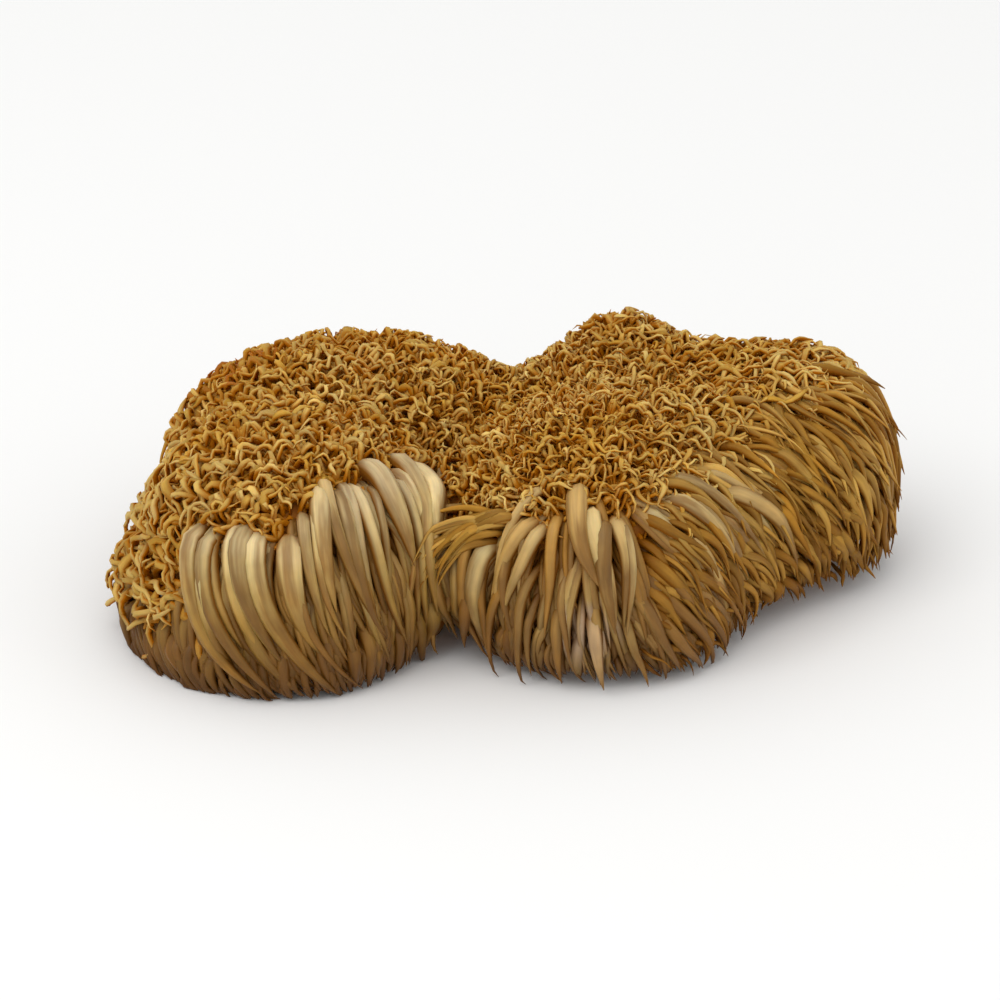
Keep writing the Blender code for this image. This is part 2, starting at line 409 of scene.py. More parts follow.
def thinned(points: Array, gap: Array) -> Array:
    """Which points stay when each one that stays, first come first served, clears a gap round itself.

    Args:
        points: Places, (N, 3).
        gap: How wide a gap each clears, (N,).

    Returns:
        The numbers of those that stay.
    """
    tree = kdtree.KDTree(len(points))
    for number, point in enumerate(points):
        tree.insert(point, number)
    tree.balance()
    free = np.ones(len(points), dtype=bool)
    kept = []
    for number, point in enumerate(points):
        if free[number]:
            kept.append(number)
            free[[near for _, near, _ in tree.find_range(point, gap[number])]] = False
    return np.array(kept)


# ---- Spines ----


@dataclass
class Spines:
    """Many spines at once: N lines of M points each, from root to tip."""

    line: Array             # (N, M, 3)
    radius: Array           # (N, M)
    tone: Array             # (N,), 0 dark to 1 pale
    warmth: Array           # (N,), 0 cream to 1 golden brown
    # Colours that run down by height are partly the spines' own browning and partly painted light: paler on
    # top, darker towards the floor.
    fall: Array | None      # (N,), height from which the colours run down each, or None to run along it
    flatness: float         # a ring's thickness over its width
    lumps: float            # how far a ring is from round, as a share of its radius
    roll: float             # how far the rings are turned on their lines, at random, in radians
    shading: float          # painted shade: how much of the gaps' colour the spines' sides take
    blush: float = 0.0      # how far the spines turn to the blush round the blushing place
    blush_at: tuple[float, float, float, float] = (0.0, 1.0, 0.0, 1.0)  # its x, reach, z and reach, in mm

    def those(self, chosen: Mask) -> "Spines":
        """Only the spines that are marked."""
        lines, tones = (self.line[chosen], self.radius[chosen]), (self.tone[chosen], self.warmth[chosen])
        return replace(self, line=lines[0], radius=lines[1], tone=tones[0], warmth=tones[1])

    def blushing(self, points: Array) -> Array:
        """How far each point is turned to the blush, which fades out round its middle as a bell does.

        Args:
            points: Places, (N, 3).

        Returns:
            One share a place, which the blush's own strength can bring over 1.
        """
        x, across, z, up = self.blush_at
        aside = ((points[:, 0] / MM - x) / across) ** 2
        return self.blush * np.exp(-aside - ((points[:, 2] / MM - z) / up) ** 2)


def downhill(
    roots: Array, length: Array, head_lean: Array, foot_lean: Array, heading: Array, points: int
) -> Array:
    """Lines over the form that run downhill from their roots, leaning to one side.

    Each stride goes straight downhill, plus the lean times the level way to the right, plus the heading,
    which fades with the square of what is left of the line. That is laid flat on the form, and the stride's
    end settles on it. The lean changes evenly from head to foot.

    Args:
        roots: Where the lines start, (N, 3).
        length: How long each is, (N,).
        head_lean: How far to the right each goes for its fall, at its root, (N,).
        foot_lean: The same at its tip, (N,).
        heading: The way that all of them are drawn at their roots, (3,).
        points: How many points a line has.

    Returns:
        The lines, (N, points, 3).
    """
    strides = 2 * (points - 1)
    stride = (length / strides)[:, None]
    up = np.array([0.0, 0.0, 1.0])
    here, lines = roots, [roots]
    for number in range(strides):
        normal = FORM.outward(here)
        along = number / strides
        lean = head_lean * (1 - along) + foot_lean * along
        level = unit(np.cross(up, normal))
        way = np.cross(level, normal) + level * lean[:, None] + heading * (1 - along) ** 2
        way = unit(way - (way * normal).sum(axis=1)[:, None] * normal)
        here = FORM.settle(here + way * stride, 1)
        if number % 2:
            lines.append(here)
    return np.stack(lines, axis=1)


def wandering(roots: Array, length: Array, heading: Array, bend: Array) -> Array:
    """Lines over the form that turn as they go, as the curls do.

    Args:
        roots: Where the lines start, (N, 3).
        length: How long each is, (N,).
        heading: The way each sets out, (N, 3).
        bend: How far each turns to its left at every stride, in radians, (N, M - 1).

    Returns:
        The lines, (N, M, 3).
    """
    strides = bend.shape[1]
    here, way, lines = roots, heading, [roots]
    for number in range(strides):
        normal = FORM.outward(here)
        way = unit(way - (way * normal).sum(axis=1)[:, None] * normal)
        aside = np.cross(normal, way)
        turn = bend[:, number, None]
        way = way * np.cos(turn) + aside * np.sin(turn)
        here = FORM.settle(here + way * (length / strides)[:, None], 1)
        lines.append(here)
    return np.stack(lines, axis=1)


def raised(line: Array, height: Array, wave: Array) -> Array:
    """The lines moved off the form: up by the height, and to the side by the wave.

    Args:
        line: The lines, (N, M, 3).
        height: How far up each point goes, (N, M).
        wave: How far aside, (N, M).

    Returns:
        The lines, (N, M, 3).
    """
    normal = FORM.outward(line)
    along = np.gradient(line, axis=1)
    aside = unit(np.cross(normal, along))
    return line + normal * height[..., None] + aside * wave[..., None]


def gathered(line: Array, gap: float, strength: float, rng: Chance) -> Array:
    """The lines drawn together into locks: towards the tip, each nears the line of its lock's leader.

    Args:
        line: The lines, (N, M, 3).
        gap: How far apart the leaders are, a third of the way along.
        strength: How far a line goes to its leader at the tip. On the way it goes that times its share
            along, to the power 1.5.
        rng: Draws the leaders.

    Returns:
        The lines, (N, M, 3).
    """
    middle = line[:, line.shape[1] // 3]
    order = rng.permutation(len(line))
    leaders = order[thinned(middle[order], np.full(len(line), gap))]
    tree = kdtree.KDTree(len(leaders))
    for number, leader in enumerate(leaders):
        tree.insert(middle[leader], number)
    tree.balance()
    own = leaders[[tree.find(place)[1] for place in middle]]
    share = np.linspace(0, 1, line.shape[1])[None, :, None] ** 1.5 * strength
    return line + (line[own] - line) * share


def shortened(values: Array, ends: Array) -> Array:
    """Each row's values again, over only a share of the row.

    Args:
        values: The rows, (N, M, ...).
        ends: The share of each that stays, (N,).

    Returns:
        The new rows, (N, M, ...).
    """
    points = values.shape[1]
    place = np.linspace(0, 1, points)[None, :] * ends[:, None] * (points - 1)
    low = np.minimum(place.astype(int), points - 2)
    part = place - low
    row = np.arange(len(values))[:, None]
    part = part.reshape(part.shape + (1,) * (values.ndim - 2))
    return values[row, low] * (1 - part) + values[row, low + 1] * part


@dataclass(frozen=True)
class Splitting:
    """How locks split into strands that run as one at the head and part towards the tip.

    The strands take even places across the lock, so close that they sink into each other and leave only
    ribs. The middle ones lie highest, so that the lock is round. Further down each thins and wanders to its
    own side, and each draws out to a point at its own length.
    """

    each: int                       # strands to a lock
    shortest: float                 # the shortest strand's length, as a share of its lock's
    blunt: float                    # how blunt the tips are, from 0 for a fine point to 1
    spread: float = 0.58            # how far out the outermost lie, as a share of half the lock's width
    arch: float = 0.85              # how much of a half circle the strands' backs follow across the lock
    sunk: float = 0.75              # how far that circle is sunk, as a share of its radius
    bulge: float = 0.35             # its radius, as a share of the lock's width
    uneven: float = 0.10            # how much the strands' heights differ, in millimetres
    parts_at: Pair = (0.15, 0.45)   # between which shares of the lock they start to part
    parting_power: float = 1.3
    wander: float = 0.7             # how far they part, in millimetres
    dip: float = 0.5                # how far a strand sinks for each length that it has wandered
    alone: float = 0.5              # radius of a lock's only strand, as a share of the lock's width
    merged: float = 0.40            # the same of one of several at the head
    apart: float = 0.85             # the same towards the tip, shared among them
    thickness: Pair = (0.8, 1.15)   # how the radii differ from strand to strand
    places: Row = (0.0, 0.10, 0.45, 0.70, 0.88, 1.0)    # shares along a strand
    fine: Row = (0.62, 1.0, 0.94, 0.70, 0.38, 0.06)     # thickness there, finely pointed
    rounded: Row = (0.62, 1.0, 1.0, 0.95, 0.80, 0.45)   # and bluntly

    def split(self, line: Array, width: Array, rng: Chance) -> tuple[Array, Array]:
        """The locks as strands.

        Args:
            line: The locks' lines, (N, M, 3).
            width: Their widths, (N, M).
            rng: Draws what varies.

        Returns:
            The strands' lines, (N * each, M, 3), and radii, (N * each, M).
        """
        count, points = width.shape
        each = self.each
        share = np.linspace(0, 1, points)
        normal = FORM.outward(line)
        aside = unit(np.cross(normal, np.gradient(line, axis=1)))
        place = (np.arange(each) + 0.5) / each * 2 - 1 + rng.uniform(-0.5, 0.5, (count, each)) / each
        place = place[..., None]
        starts = rng.uniform(*self.parts_at, (count, 1, 1))
        parting = np.clip((share - starts) / (1 - starts), 0, 1) ** self.parting_power
        parted = rng.normal(0, self.wander, (count, each, 1)) + self.wander * place
        parted = parted * MM * parting * (each > 1)
        across = place * width[:, None] / 2 * self.spread + parted
        rise = np.sqrt(np.maximum(1 - self.arch * place**2, 0)) - self.sunk
        rise = rise * width[:, None] * self.bulge
        rise = rise + rng.normal(0, self.uneven, (count, each, 1)) * MM - self.dip * np.abs(parted)
        made = line[:, None] + aside[:, None] * across[..., None] + normal[:, None] * rise[..., None]
        merged, apart = (self.alone, self.alone) if each == 1 else (self.merged, self.apart / each)
        thick = rng.uniform(*self.thickness, (count, each, 1))
        radius = width[:, None] * (merged + (apart - merged) * parting) * thick
        made = made.reshape(count * each, points, 3)
        radius = radius.reshape(count * each, points)
        ends = rng.uniform(self.shortest, 1.0, count * each)
        fine = np.interp(share, self.places, self.fine)
        rounded = np.interp(share, self.places, self.rounded)
        return shortened(made, ends), shortened(radius, ends) * (fine + (rounded - fine) * self.blunt)


def above_floor(line: Array, radius: Array) -> Array:
    """The lines bent so that no part of a tube goes below the surface that the mushroom rests on.

    Args:
        line: The lines, (N, M, 3).
        radius: Their radii, (N, M), to which the lumps add some.

    Returns:
        The lines, (N, M, 3).
    """
    lowest = radius * TUBE_REACH + FLOOR_GAP
    line = line.copy()
    line[..., 2] = np.maximum(line[..., 2], lowest)
    return line


# ---- Meshes ----


def put_mesh(name: str, corners: Array, loops: Whole, sizes: Whole) -> bpy.types.Object:
    """An object from arrays.

    Args:
        name: The piece's name.
        corners: Its vertices, (V, 3).
        loops: The vertices round every face, face after face.
        sizes: How many vertices each face has.

    Returns:
        The object, linked to the scene, smooth shaded.
    """
    mesh = bpy.data.meshes.new(name)
    mesh.vertices.add(len(corners))
    mesh.vertices.foreach_set("co", corners.astype(np.float32).ravel())
    mesh.loops.add(len(loops))
    mesh.loops.foreach_set("vertex_index", loops.astype(np.int32))
    mesh.polygons.add(len(sizes))
    starts = np.concatenate([[0], np.cumsum(sizes)[:-1]]).astype(np.int32)
    mesh.polygons.foreach_set("loop_start", starts)
    mesh.update(calc_edges=True)
    mesh.shade_smooth()
    made = bpy.data.objects.new(name, mesh)
    bpy.context.scene.collection.objects.link(made)
    return made


def put_attributes(made: bpy.types.Object, growth: Array, fibre: Array) -> None:
    """Writes what the materials read at each vertex.

    Args:
        made: The piece.
        growth: The values that GROWTH names, (V, 4).
        fibre: The places for the fibre pattern, (V, 3).
    """
    colours = made.data.attributes.new(GROWTH, "FLOAT_COLOR", "POINT")
    colours.data.foreach_set("color", growth.astype(np.float32).ravel())
    places = made.data.attributes.new(FIBRE, "FLOAT_VECTOR", "POINT")
    places.data.foreach_set("vector", fibre.astype(np.float32).ravel())


def height_share(points: Array) -> Array:
    """How far above or below the form points are: the fullness less one, over its steepness.

    Args:
        points: Places, (N, 3).

    Returns:
        One share a place, from 0 deep below the form to 1 a little above it.
    """
    steep = np.linalg.norm(FORM.steepness(points), axis=-1)
    height = (FORM.fullness(points) - 1) / np.maximum(steep, LEAST_SLOPE)
    return np.clip((height - HEIGHT_FROM) / HEIGHT_SPAN, 0, 1)


def tube_faces(rings: int, sides: int) -> tuple[Whole, Whole]:
    """The faces of one closed tube: four-sided ones from ring to ring, and a fan at each end.

    The vertices are numbered ring after ring, and then come the end points of the first and the last ring.

    Args:
        rings: How many rings it has.
        sides: Points to a ring.

    Returns:
        The vertices round every face, face after face, and how many each face has.
    """
    ring, place = np.meshgrid(np.arange(rings - 1), np.arange(sides), indexing="ij")
    after = (place + 1) % sides
    low, high = ring * sides, (ring + 1) * sides
    quads = np.stack([low + place, low + after, high + after, high + place], axis=-1).reshape(-1, 4)
    place, after = np.arange(sides), (np.arange(sides) + 1) % sides
    last, end = (rings - 1) * sides, rings * sides
    foot = np.stack([after, place, np.full(sides, end)], axis=-1)
    tip = np.stack([last + place, last + after, np.full(sides, end + 1)], axis=-1)
    loops = np.concatenate([quads.ravel(), foot.ravel(), tip.ravel()])
    return loops, np.concatenate([np.full(len(quads), 4), np.full(2 * sides, 3)])


@dataclass(frozen=True)
class SpinePiece:
    """Every spine as a closed tube, in one mesh.

    A ring's points are the line's point, plus the radius times the cosine of the angle along a side
    direction and the flatness times its sine along the other. The radius varies round the ring by two
    waves, of two and three crests. A point at each end closes the tube.
    """

    spines: Spines
    sides: int                      # points to a ring
    wave: float = 0.6               # height of each wave round a ring, in lumps
    twist: float = 1.2              # the most that the waves turn from root to tip, in radians
    foot: float = 0.5               # how far the end points stand out, in radii
    tip: float = 0.8
    end_crest: float = 0.5          # how far an end point is taken to face the form's outside
    own_blush: Pair = (0.6, 1.4)    # how the blush differs from spine to spine
    pattern_gap: float = 7.31       # from one spine's fibre pattern to the next, in millimetres

    def directions(self, rng: Chance) -> tuple[Array, Array, Array]:
        """Three directions at each point of each line.

        The side direction is carried along the line by taking out its part along each new piece. Then it and
        the other are turned by the roll, which changes evenly from root to tip.

        Args:
            rng: Draws the roll.

        Returns:
            Along the line, to the side, and across both, each (N, M, 3).
        """
        line = self.spines.line
        count, rings = self.spines.radius.shape
        along = unit(np.gradient(line, axis=1))
        side = unit(np.cross(FORM.outward(line[:, 0]), along[:, 0] + 1e-3))
        carried = []
        for number in range(rings):
            direction = along[:, number]
            side = unit(side - (side * direction).sum(axis=1)[:, None] * direction)
            carried.append(side)
        side = np.stack(carried, axis=1)
        other = np.cross(along, side)
        share = np.linspace(0, 1, rings)[None, :, None]
        roll = rng.normal(0, 1, (count, 1, 1)) + rng.normal(0, 1, (count, 1, 1)) * share
        roll = self.spines.roll * roll
        return along, side * np.cos(roll) + other * np.sin(roll), other * np.cos(roll) - side * np.sin(roll)

    def surface(self, angle: Array, rng: Chance) -> tuple[Array, Array]:
        """The tubes' vertices, spine after spine, and how far each faces away from the form.

        Args:
            angle: The angles of a ring's points.
            rng: Draws the roll and the lumps.

        Returns:
            Places, (V, 3), none below the floor, and shares, (V,).
        """
        line, radius, flatness = self.spines.line, self.spines.radius, self.spines.flatness
        count, rings = radius.shape
        along, side, other = self.directions(rng)
        phase = rng.uniform(0, 2 * math.pi, (2, count, 1, 1))
        twist = rng.uniform(-self.twist, self.twist, (count, 1, 1)) * np.linspace(0, 1, rings)[None, :, None]
        wave = np.cos(2 * (angle + twist) + phase[0]) * self.wave
        wave = wave + np.cos(3 * (angle - twist) + phase[1]) * self.wave
        wide = radius[..., None] * (1 + self.spines.lumps * wave)
        ring = side[:, :, None] * (wide * np.cos(angle))[..., None]
        ring = ring + other[:, :, None] * (wide * np.sin(angle) * flatness)[..., None]
        body = (line[:, :, None] + ring).reshape(count, rings * self.sides, 3)
        foot = line[:, 0] - along[:, 0] * radius[:, :1] * self.foot
        tip = line[:, -1] + along[:, -1] * radius[:, -1:] * self.tip
        corners = np.concatenate([body, np.stack([foot, tip], axis=1)], axis=1).reshape(-1, 3)
        corners[:, 2] = np.maximum(corners[:, 2], 0.0)
        facing = side[:, :, None] * (flatness * np.cos(angle))[:, None]
        facing = unit(facing + other[:, :, None] * np.sin(angle)[:, None])
        # How far each point faces outwards: the sides that face away take painted shade.
        crest = np.clip((facing * FORM.outward(line)[:, :, None]).sum(axis=-1), 0, 1)
        crest = crest.reshape(count, rings * self.sides)
        return corners, np.concatenate([crest, np.full((count, 2), self.end_crest)], axis=1).ravel()

    def growth(self, corners: Array, crest: Array, rng: Chance) -> Array:
        """What the material reads at each vertex. Sides that don't face outwards count as if they lay deeper,
        and so take painted shade.

        Args:
            corners: The vertices, (V, 3).
            crest: How far each faces away from the form, (V,).
            rng: Draws how the blush differs.

        Returns:
            The values that GROWTH names, (V, 4).
        """
        spines = self.spines
        count, rings = spines.radius.shape
        each = rings * self.sides + 2
        if spines.fall is None:
            steps = np.concatenate([np.repeat(np.linspace(0, 1, rings), self.sides), [0.0, 1.0]])
            share = np.tile(steps, count)
        else:
            # By height: partly own colour, partly painted shade towards the floor.
            share = np.clip(1 - corners[:, 2] / np.repeat(spines.fall, each), 0, 1)
        tone = np.repeat(spines.tone, each)
        own = np.repeat(rng.uniform(*self.own_blush, count), each)
        warmth = np.repeat(spines.warmth, each) * (1 - np.clip(spines.blushing(corners) * own, 0, 1))
        # Painted shade on the sides that face away from the outside.
        height = np.clip(height_share(corners) - spines.shading * (1 - crest) ** 1.5, 0, 1)
        return np.stack([share, tone, height, warmth], axis=-1)

    def fibre(self, angle: Array) -> Array:
        """Places for the fibre pattern, in millimetres: round the spine, and along it, apart for each spine.

        Args:
            angle: The angles of a ring's points.

        Returns:
            One place a vertex, (V, 3).
        """
        line, radius = self.spines.line, self.spines.radius
        count = len(line)
        paces = np.linalg.norm(np.diff(line, axis=1), axis=2)
        walked = np.concatenate([np.zeros((count, 1)), np.cumsum(paces, axis=1)], axis=1)
        across = radius[..., None] * np.cos(angle) / MM
        deep = radius[..., None] * np.sin(angle) / MM
        apart = (np.arange(count) * self.pattern_gap)[:, None, None]
        long = np.broadcast_to(walked[..., None] / MM, across.shape)
        body = np.stack([across + apart, deep, long], axis=-1).reshape(count, -1, 3)
        ends = np.zeros((count, 2, 3))
        ends[:, :, 0] = apart[:, 0]
        ends[:, 1, 2] = walked[:, -1] / MM
        return np.concatenate([body, ends], axis=1).reshape(-1, 3)

    def build(self, name: str, rng: Chance) -> bpy.types.Object:
        """The piece.

        Args:
            name: Its name.
            rng: Draws what varies.

        Returns:
            The object.
        """
        count, rings = self.spines.radius.shape
        angle = np.arange(self.sides) * 2 * math.pi / self.sides
        corners, crest = self.surface(angle, rng)
        loops, sizes = tube_faces(rings, self.sides)
        every = (loops[None, :] + np.arange(count)[:, None] * (rings * self.sides + 2)).ravel()
        made = put_mesh(name, corners, every, np.tile(sizes, count))
        put_attributes(made, self.growth(corners, crest, rng), self.fibre(angle))
        put_map(made, count, rings, self.sides)
        return made


def put_map(made: bpy.types.Object, count: int, rings: int, sides: int) -> None:
    """A map in which every spine has a cell: round it runs across the cell, and along it runs up.

    Args:
        made: The piece, with its faces in the order of tube_faces, spine after spine.
        count: How many spines.
        rings: Rings to a spine.
        sides: Points to a ring.
    """
    columns = max(1, math.ceil(math.sqrt(count * rings / sides * 0.8)))
    rows = math.ceil(count / columns)
    margin = 0.06
    ring_number, place = np.meshgrid(np.arange(rings - 1), np.arange(sides), indexing="ij")
    u = np.stack([place, place + 1, place + 1, place], axis=-1).reshape(-1) / sides
    v = np.stack([ring_number, ring_number, ring_number + 1, ring_number + 1], axis=-1).reshape(-1)
    v = (v + 1) / (rings + 1)
    place = np.arange(sides)
    foot_u = np.stack([place + 1, place, place + 0.5], axis=-1).reshape(-1) / sides
    foot_v = np.tile([1.0, 1.0, 0.0], sides) / (rings + 1)
    tip_u = np.stack([place, place + 1, place + 0.5], axis=-1).reshape(-1) / sides
    tip_v = np.tile([rings, rings, rings + 1.0], sides) / (rings + 1)
    one = np.stack([np.concatenate([u, foot_u, tip_u]), np.concatenate([v, foot_v, tip_v])], axis=-1)
    one = margin + one * (1 - 2 * margin)
    cell = np.stack([np.arange(count) % columns, np.arange(count) // columns], axis=-1)
    every = (one[None] + cell[:, None]) / np.array([columns, rows])
    layer = made.data.uv_layers.new(name=MAP_NAME)
    layer.uv.foreach_set("vector", every.astype(np.float32).ravel())


# ---- Finishes ----


class Tint(Enum):
    """Which way a spine's colour leans."""

    CREAM = "cream"
    GOLDEN = "golden"


MOST_OF_NOISE = (0.3, 0.7)          # between these lie most of a noise's values
MIDDLE_OF_NOISE = (0.35, 0.65)
LIGHT_REACH = 0.8 * MM              # how far light goes under the surface
LIGHT_SHARES = (1.0, 0.5, 0.2)      # how much of that its red, green and blue go


@dataclass(frozen=True)
class SpineFinish:
    """Dry, fibrous flesh, coloured along each spine, with painted shade darker in the gaps between them and
    painted highlights where they stand out.

    cream and golden each give the colours from root to tip. A pattern is noise drawn out along the spines:
    its waves to a millimetre round a spine and along it, and how many finer layers it has.
    """

    name: str
    cream: Stops
    golden: Stops
    # gap: the painted shade between the spines, a saturated brown that stands in for shade in the hollows
    gap: Colour
    stain: Colour = (138, 90, 30)
    stained: float = 0.5            # how far the stripes go to the stain
    blush: Colour = (166, 138, 110)
    blushed: float = 0.85           # how far the least warm spines go to the blush
    russet: Colour = (150, 76, 8)
    reddened: float = 0.8           # how far the warmest go to the russet
    painted_shade_from: float = 0.22          # height share at which the painted shade in the gaps is darkest
    painted_shade_to: float = 0.62            # height share from which there is no painted shade
    painted_shade_falls: float = 0.0          # how much darker the painted shade is at the end of the colours' run
    crest: float = 1.10             # painted highlight: how much brighter the parts that stand out are
    painted_highlight_rise: float = 0.12        # height share over which the painted highlight comes to that
    stripes: float = 0.06           # how strong the broad stripes along the spines are
    roughness: Pair = (0.50, 0.72)
    bump: float = 0.35
    relief: float = 0.16 * MM
    soft: float = 0.18              # how much light goes through under the surface
    gloss: float = 0.25             # how strong reflections are
    creams: Pair = (0.2, 0.8)       # warmth over which cream gives way to golden
    blushes: Pair = (0.0, 0.19)     # warmth over which the blush fades
    reddens: Pair = (0.9, 1.0)      # warmth over which the russet comes
    stains: Pair = (0.50, 0.64)     # values of the stripes over which the stain comes
    tones: Pair = (0.76, 1.10)      # brightness of the darkest and the palest spines
    streak_levels: Pair = (0.86, 1.10)
    blotch_levels: Pair = (0.90, 1.08)
    streak_pattern: Triple = (1.6, 0.12, 4.0)
    blotch_pattern: Triple = (0.35, 0.35, 2.0)
    stripe_pattern: Triple = (0.5, 0.06, 3.0)

    def stops(self, tint: Tint) -> Stops:
        """The colours from root to tip for one tint."""
        return self.cream if tint is Tint.CREAM else self.golden

    def make(self) -> bpy.types.Material:
        """The material: the colours along the spine, then the stains, the brightness, the painted highlights
        and the painted shade in the gaps.
        """
        net = Net(self.name)
        share, tone, height, warmth = net.growth()
        streaks = net.fibre_noise(*self.streak_pattern)
        blotches = net.fibre_noise(*self.blotch_pattern)
        stripes = net.fibre_noise(*self.stripe_pattern)
        cream, golden = (net.ramp(share, self.stops(tint)) for tint in Tint)
        tinted = net.mix(net.spread(warmth, *self.creams, 0.0, 1.0), cream, golden)
        for value, span, first, second, colour in (
            (stripes, self.stains, 0.0, self.stained, self.stain),
            (warmth, self.blushes, self.blushed, 0.0, self.blush),
            (warmth, self.reddens, 0.0, self.reddened, self.russet),
        ):
            tinted = net.mix(net.spread(value, *span, first, second), tinted, net.colour(colour))
        level = net.spread(tone, 0.0, 1.0, *self.tones)
        level = net.times(level, net.spread(streaks, *MOST_OF_NOISE, *self.streak_levels))
        level = net.times(level, net.spread(blotches, *MOST_OF_NOISE, *self.blotch_levels))
        level = net.times(level, net.spread(stripes, *MIDDLE_OF_NOISE, 1 + self.stripes, 1 - self.stripes))
        # Painted highlight: what stands out over the form is made brighter.
        painted_highlight = net.spread(height, self.painted_shade_to, self.painted_shade_to + self.painted_highlight_rise, 1.0, self.crest)
        highlighted = net.scaled(net.scaled(tinted, level), painted_highlight)
        # The painted shade in the gaps, darker where the colours have run down.
        gap = net.scaled(net.colour(self.gap), net.spread(share, 0.0, 1.0, 1.0, 1 - self.painted_shade_falls))
        net.finish_with(
            net.mix(net.spread(height, self.painted_shade_from, self.painted_shade_to, 0.0, 1.0), gap, highlighted),
            net.spread(streaks, *MOST_OF_NOISE, *self.roughness),
            net.bump(streaks, self.bump, self.relief),
            self.soft,
            self.gloss,
        )
        return net.material


class Net:
    """A material's nodes, put together by short words."""

    def __init__(self, name: str) -> None:
        """Starts an empty material with an output.

        Args:
            name: Its name.
        """
        self.material = bpy.data.materials.new(name)
        self.material.use_nodes = True
        self.tree = self.material.node_tree
        self.tree.nodes.clear()
        self.output = self.tree.nodes.new("ShaderNodeOutputMaterial")

    def add(self, kind: str, inputs: dict[str | int, object], **settings: object) -> bpy.types.Node:
        """A new node.

        Args:
            kind: Its type.
            inputs: What goes into it, by name or number: a socket is linked, and a value is set.
            **settings: Its properties.

        Returns:
            The node.
        """
        node = self.tree.nodes.new(kind)
        for name, value in settings.items():
            setattr(node, name, value)
        for name, value in inputs.items():
            if isinstance(value, Socket):
                self.tree.links.new(value, node.inputs[name])
            else:
                node.inputs[name].default_value = value
        return node

    def show(self, surface: bpy.types.Node) -> None:
        """Makes a surface the material's own."""
        self.tree.links.new(surface.outputs[0], self.output.inputs["Surface"])

    def growth(self) -> tuple[Socket, Socket, Socket, Socket]:
        """The four values that GROWTH names, which every piece carries at its vertices."""
        values = self.add("ShaderNodeAttribute", {}, attribute_name=GROWTH)
        apart = self.add("ShaderNodeSeparateColor", {"Color": values.outputs["Color"]})
        share, tone, height = (apart.outputs[channel] for channel in ("Red", "Green", "Blue"))
        return share, tone, height, values.outputs["Alpha"]

    def colour(self, seen: Colour) -> Socket:
        """A plain colour.

        Args:
            seen: The colour as seen.

        Returns:
            The same as a socket.
        """
        node = self.add("ShaderNodeRGB", {})
        node.outputs[0].default_value = linear(*seen)
        return node.outputs[0]

    def ramp(self, share: Socket, stops: Stops) -> Socket:
        """Colours along a share, blended smoothly from stop to stop.

        Args:
            share: Where along the colours, 0 to 1.
            stops: The colours and their places.

        Returns:
            The colour.
        """
        node = self.add("ShaderNodeValToRGB", {"Fac": share})
        node.color_ramp.interpolation = "EASE"
        elements = node.color_ramp.elements
        while len(elements) < len(stops):
            elements.new(0.5)
        for element, (place, seen) in zip(elements, stops):
            element.position = place
            element.color = linear(*seen)
        return node.outputs["Color"]

    def mix(self, share: Socket, first: Socket, second: Socket) -> Socket:
        """The first colour at share 0, the second at 1, and mixtures between."""
        inputs = {"Factor": share, "A": first, "B": second}
        return self.add("ShaderNodeMix", inputs, data_type="RGBA", clamp_factor=True).outputs["Result"]

    def scaled(self, colour: Socket, level: Socket) -> Socket:
        """A colour made brighter or darker by a level."""
        return self.add("ShaderNodeVectorMath", {0: colour, "Scale": level}, operation="SCALE").outputs[0]

    def times(self, first: Socket, second: Socket) -> Socket:
        """Two values multiplied."""
        return self.add("ShaderNodeMath", {0: first, 1: second}, operation="MULTIPLY").outputs[0]

    def spread(self, value: Socket, low: float, high: float, to_low: float, to_high: float) -> Socket:
        """A value between low and high, mapped to another range and held inside it."""
        inputs = {"Value": value, "From Min": low, "From Max": high, "To Min": to_low, "To Max": to_high}
        return self.add("ShaderNodeMapRange", inputs, clamp=True).outputs["Result"]

    def noise(self, places: Socket, scale: float, detail: float) -> Socket:
        """Noise at some places, with so many waves to each unit of them and so many finer layers."""
        inputs = {"Vector": places, "Scale": scale, "Detail": detail}
        return self.add("ShaderNodeTexNoise", inputs).outputs["Fac"]

    def fibre_noise(self, round_it: float, along: float, detail: float) -> Socket:
        """Noise drawn out along the spines.

        Args:
            round_it: How fine it is round a spine, in waves to a millimetre.
            along: The same along it.
            detail: How many finer layers it has.

        Returns:
            The noise's value.
        """
        places = self.add("ShaderNodeAttribute", {}, attribute_name=FIBRE).outputs["Vector"]
        inputs = {0: places, 1: (round_it, round_it, along)}
        stretched = self.add("ShaderNodeVectorMath", inputs, operation="MULTIPLY")
        return self.noise(stretched.outputs[0], 1.0, detail)

    def space_noise(self, to_a_metre: float, detail: float) -> Socket:
        """Noise in the object's own space, with so many waves to a metre and so many finer layers."""
        return self.noise(self.add("ShaderNodeTexCoord", {}).outputs["Object"], to_a_metre, detail)

    def bump(self, value: Socket, strength: float, deep: float) -> Socket:
        """A relief as a normal, so strong and so deep."""
        inputs = {"Height": value, "Strength": strength, "Distance": deep}
        return self.add("ShaderNodeBump", inputs).outputs["Normal"]

    def finish_with(
        self, colour: Socket, roughness: Socket, normal: Socket, soft: float, gloss: float
    ) -> None:
        """Joins everything to the surface, with a little light let in under it.

        Args:
            colour: Its colour.
            roughness: Its roughness.
            normal: Its normal.
            soft: How much light goes through under it.
            gloss: How strong its reflections are.
        """
        inputs = {
            "Base Color": colour, "Roughness": roughness, "Normal": normal, "Specular IOR Level": gloss,
            "Subsurface Weight": soft, "Subsurface Radius": LIGHT_SHARES, "Subsurface Scale": LIGHT_REACH,
        }
        self.show(self.add("ShaderNodeBsdfPrincipled", inputs))


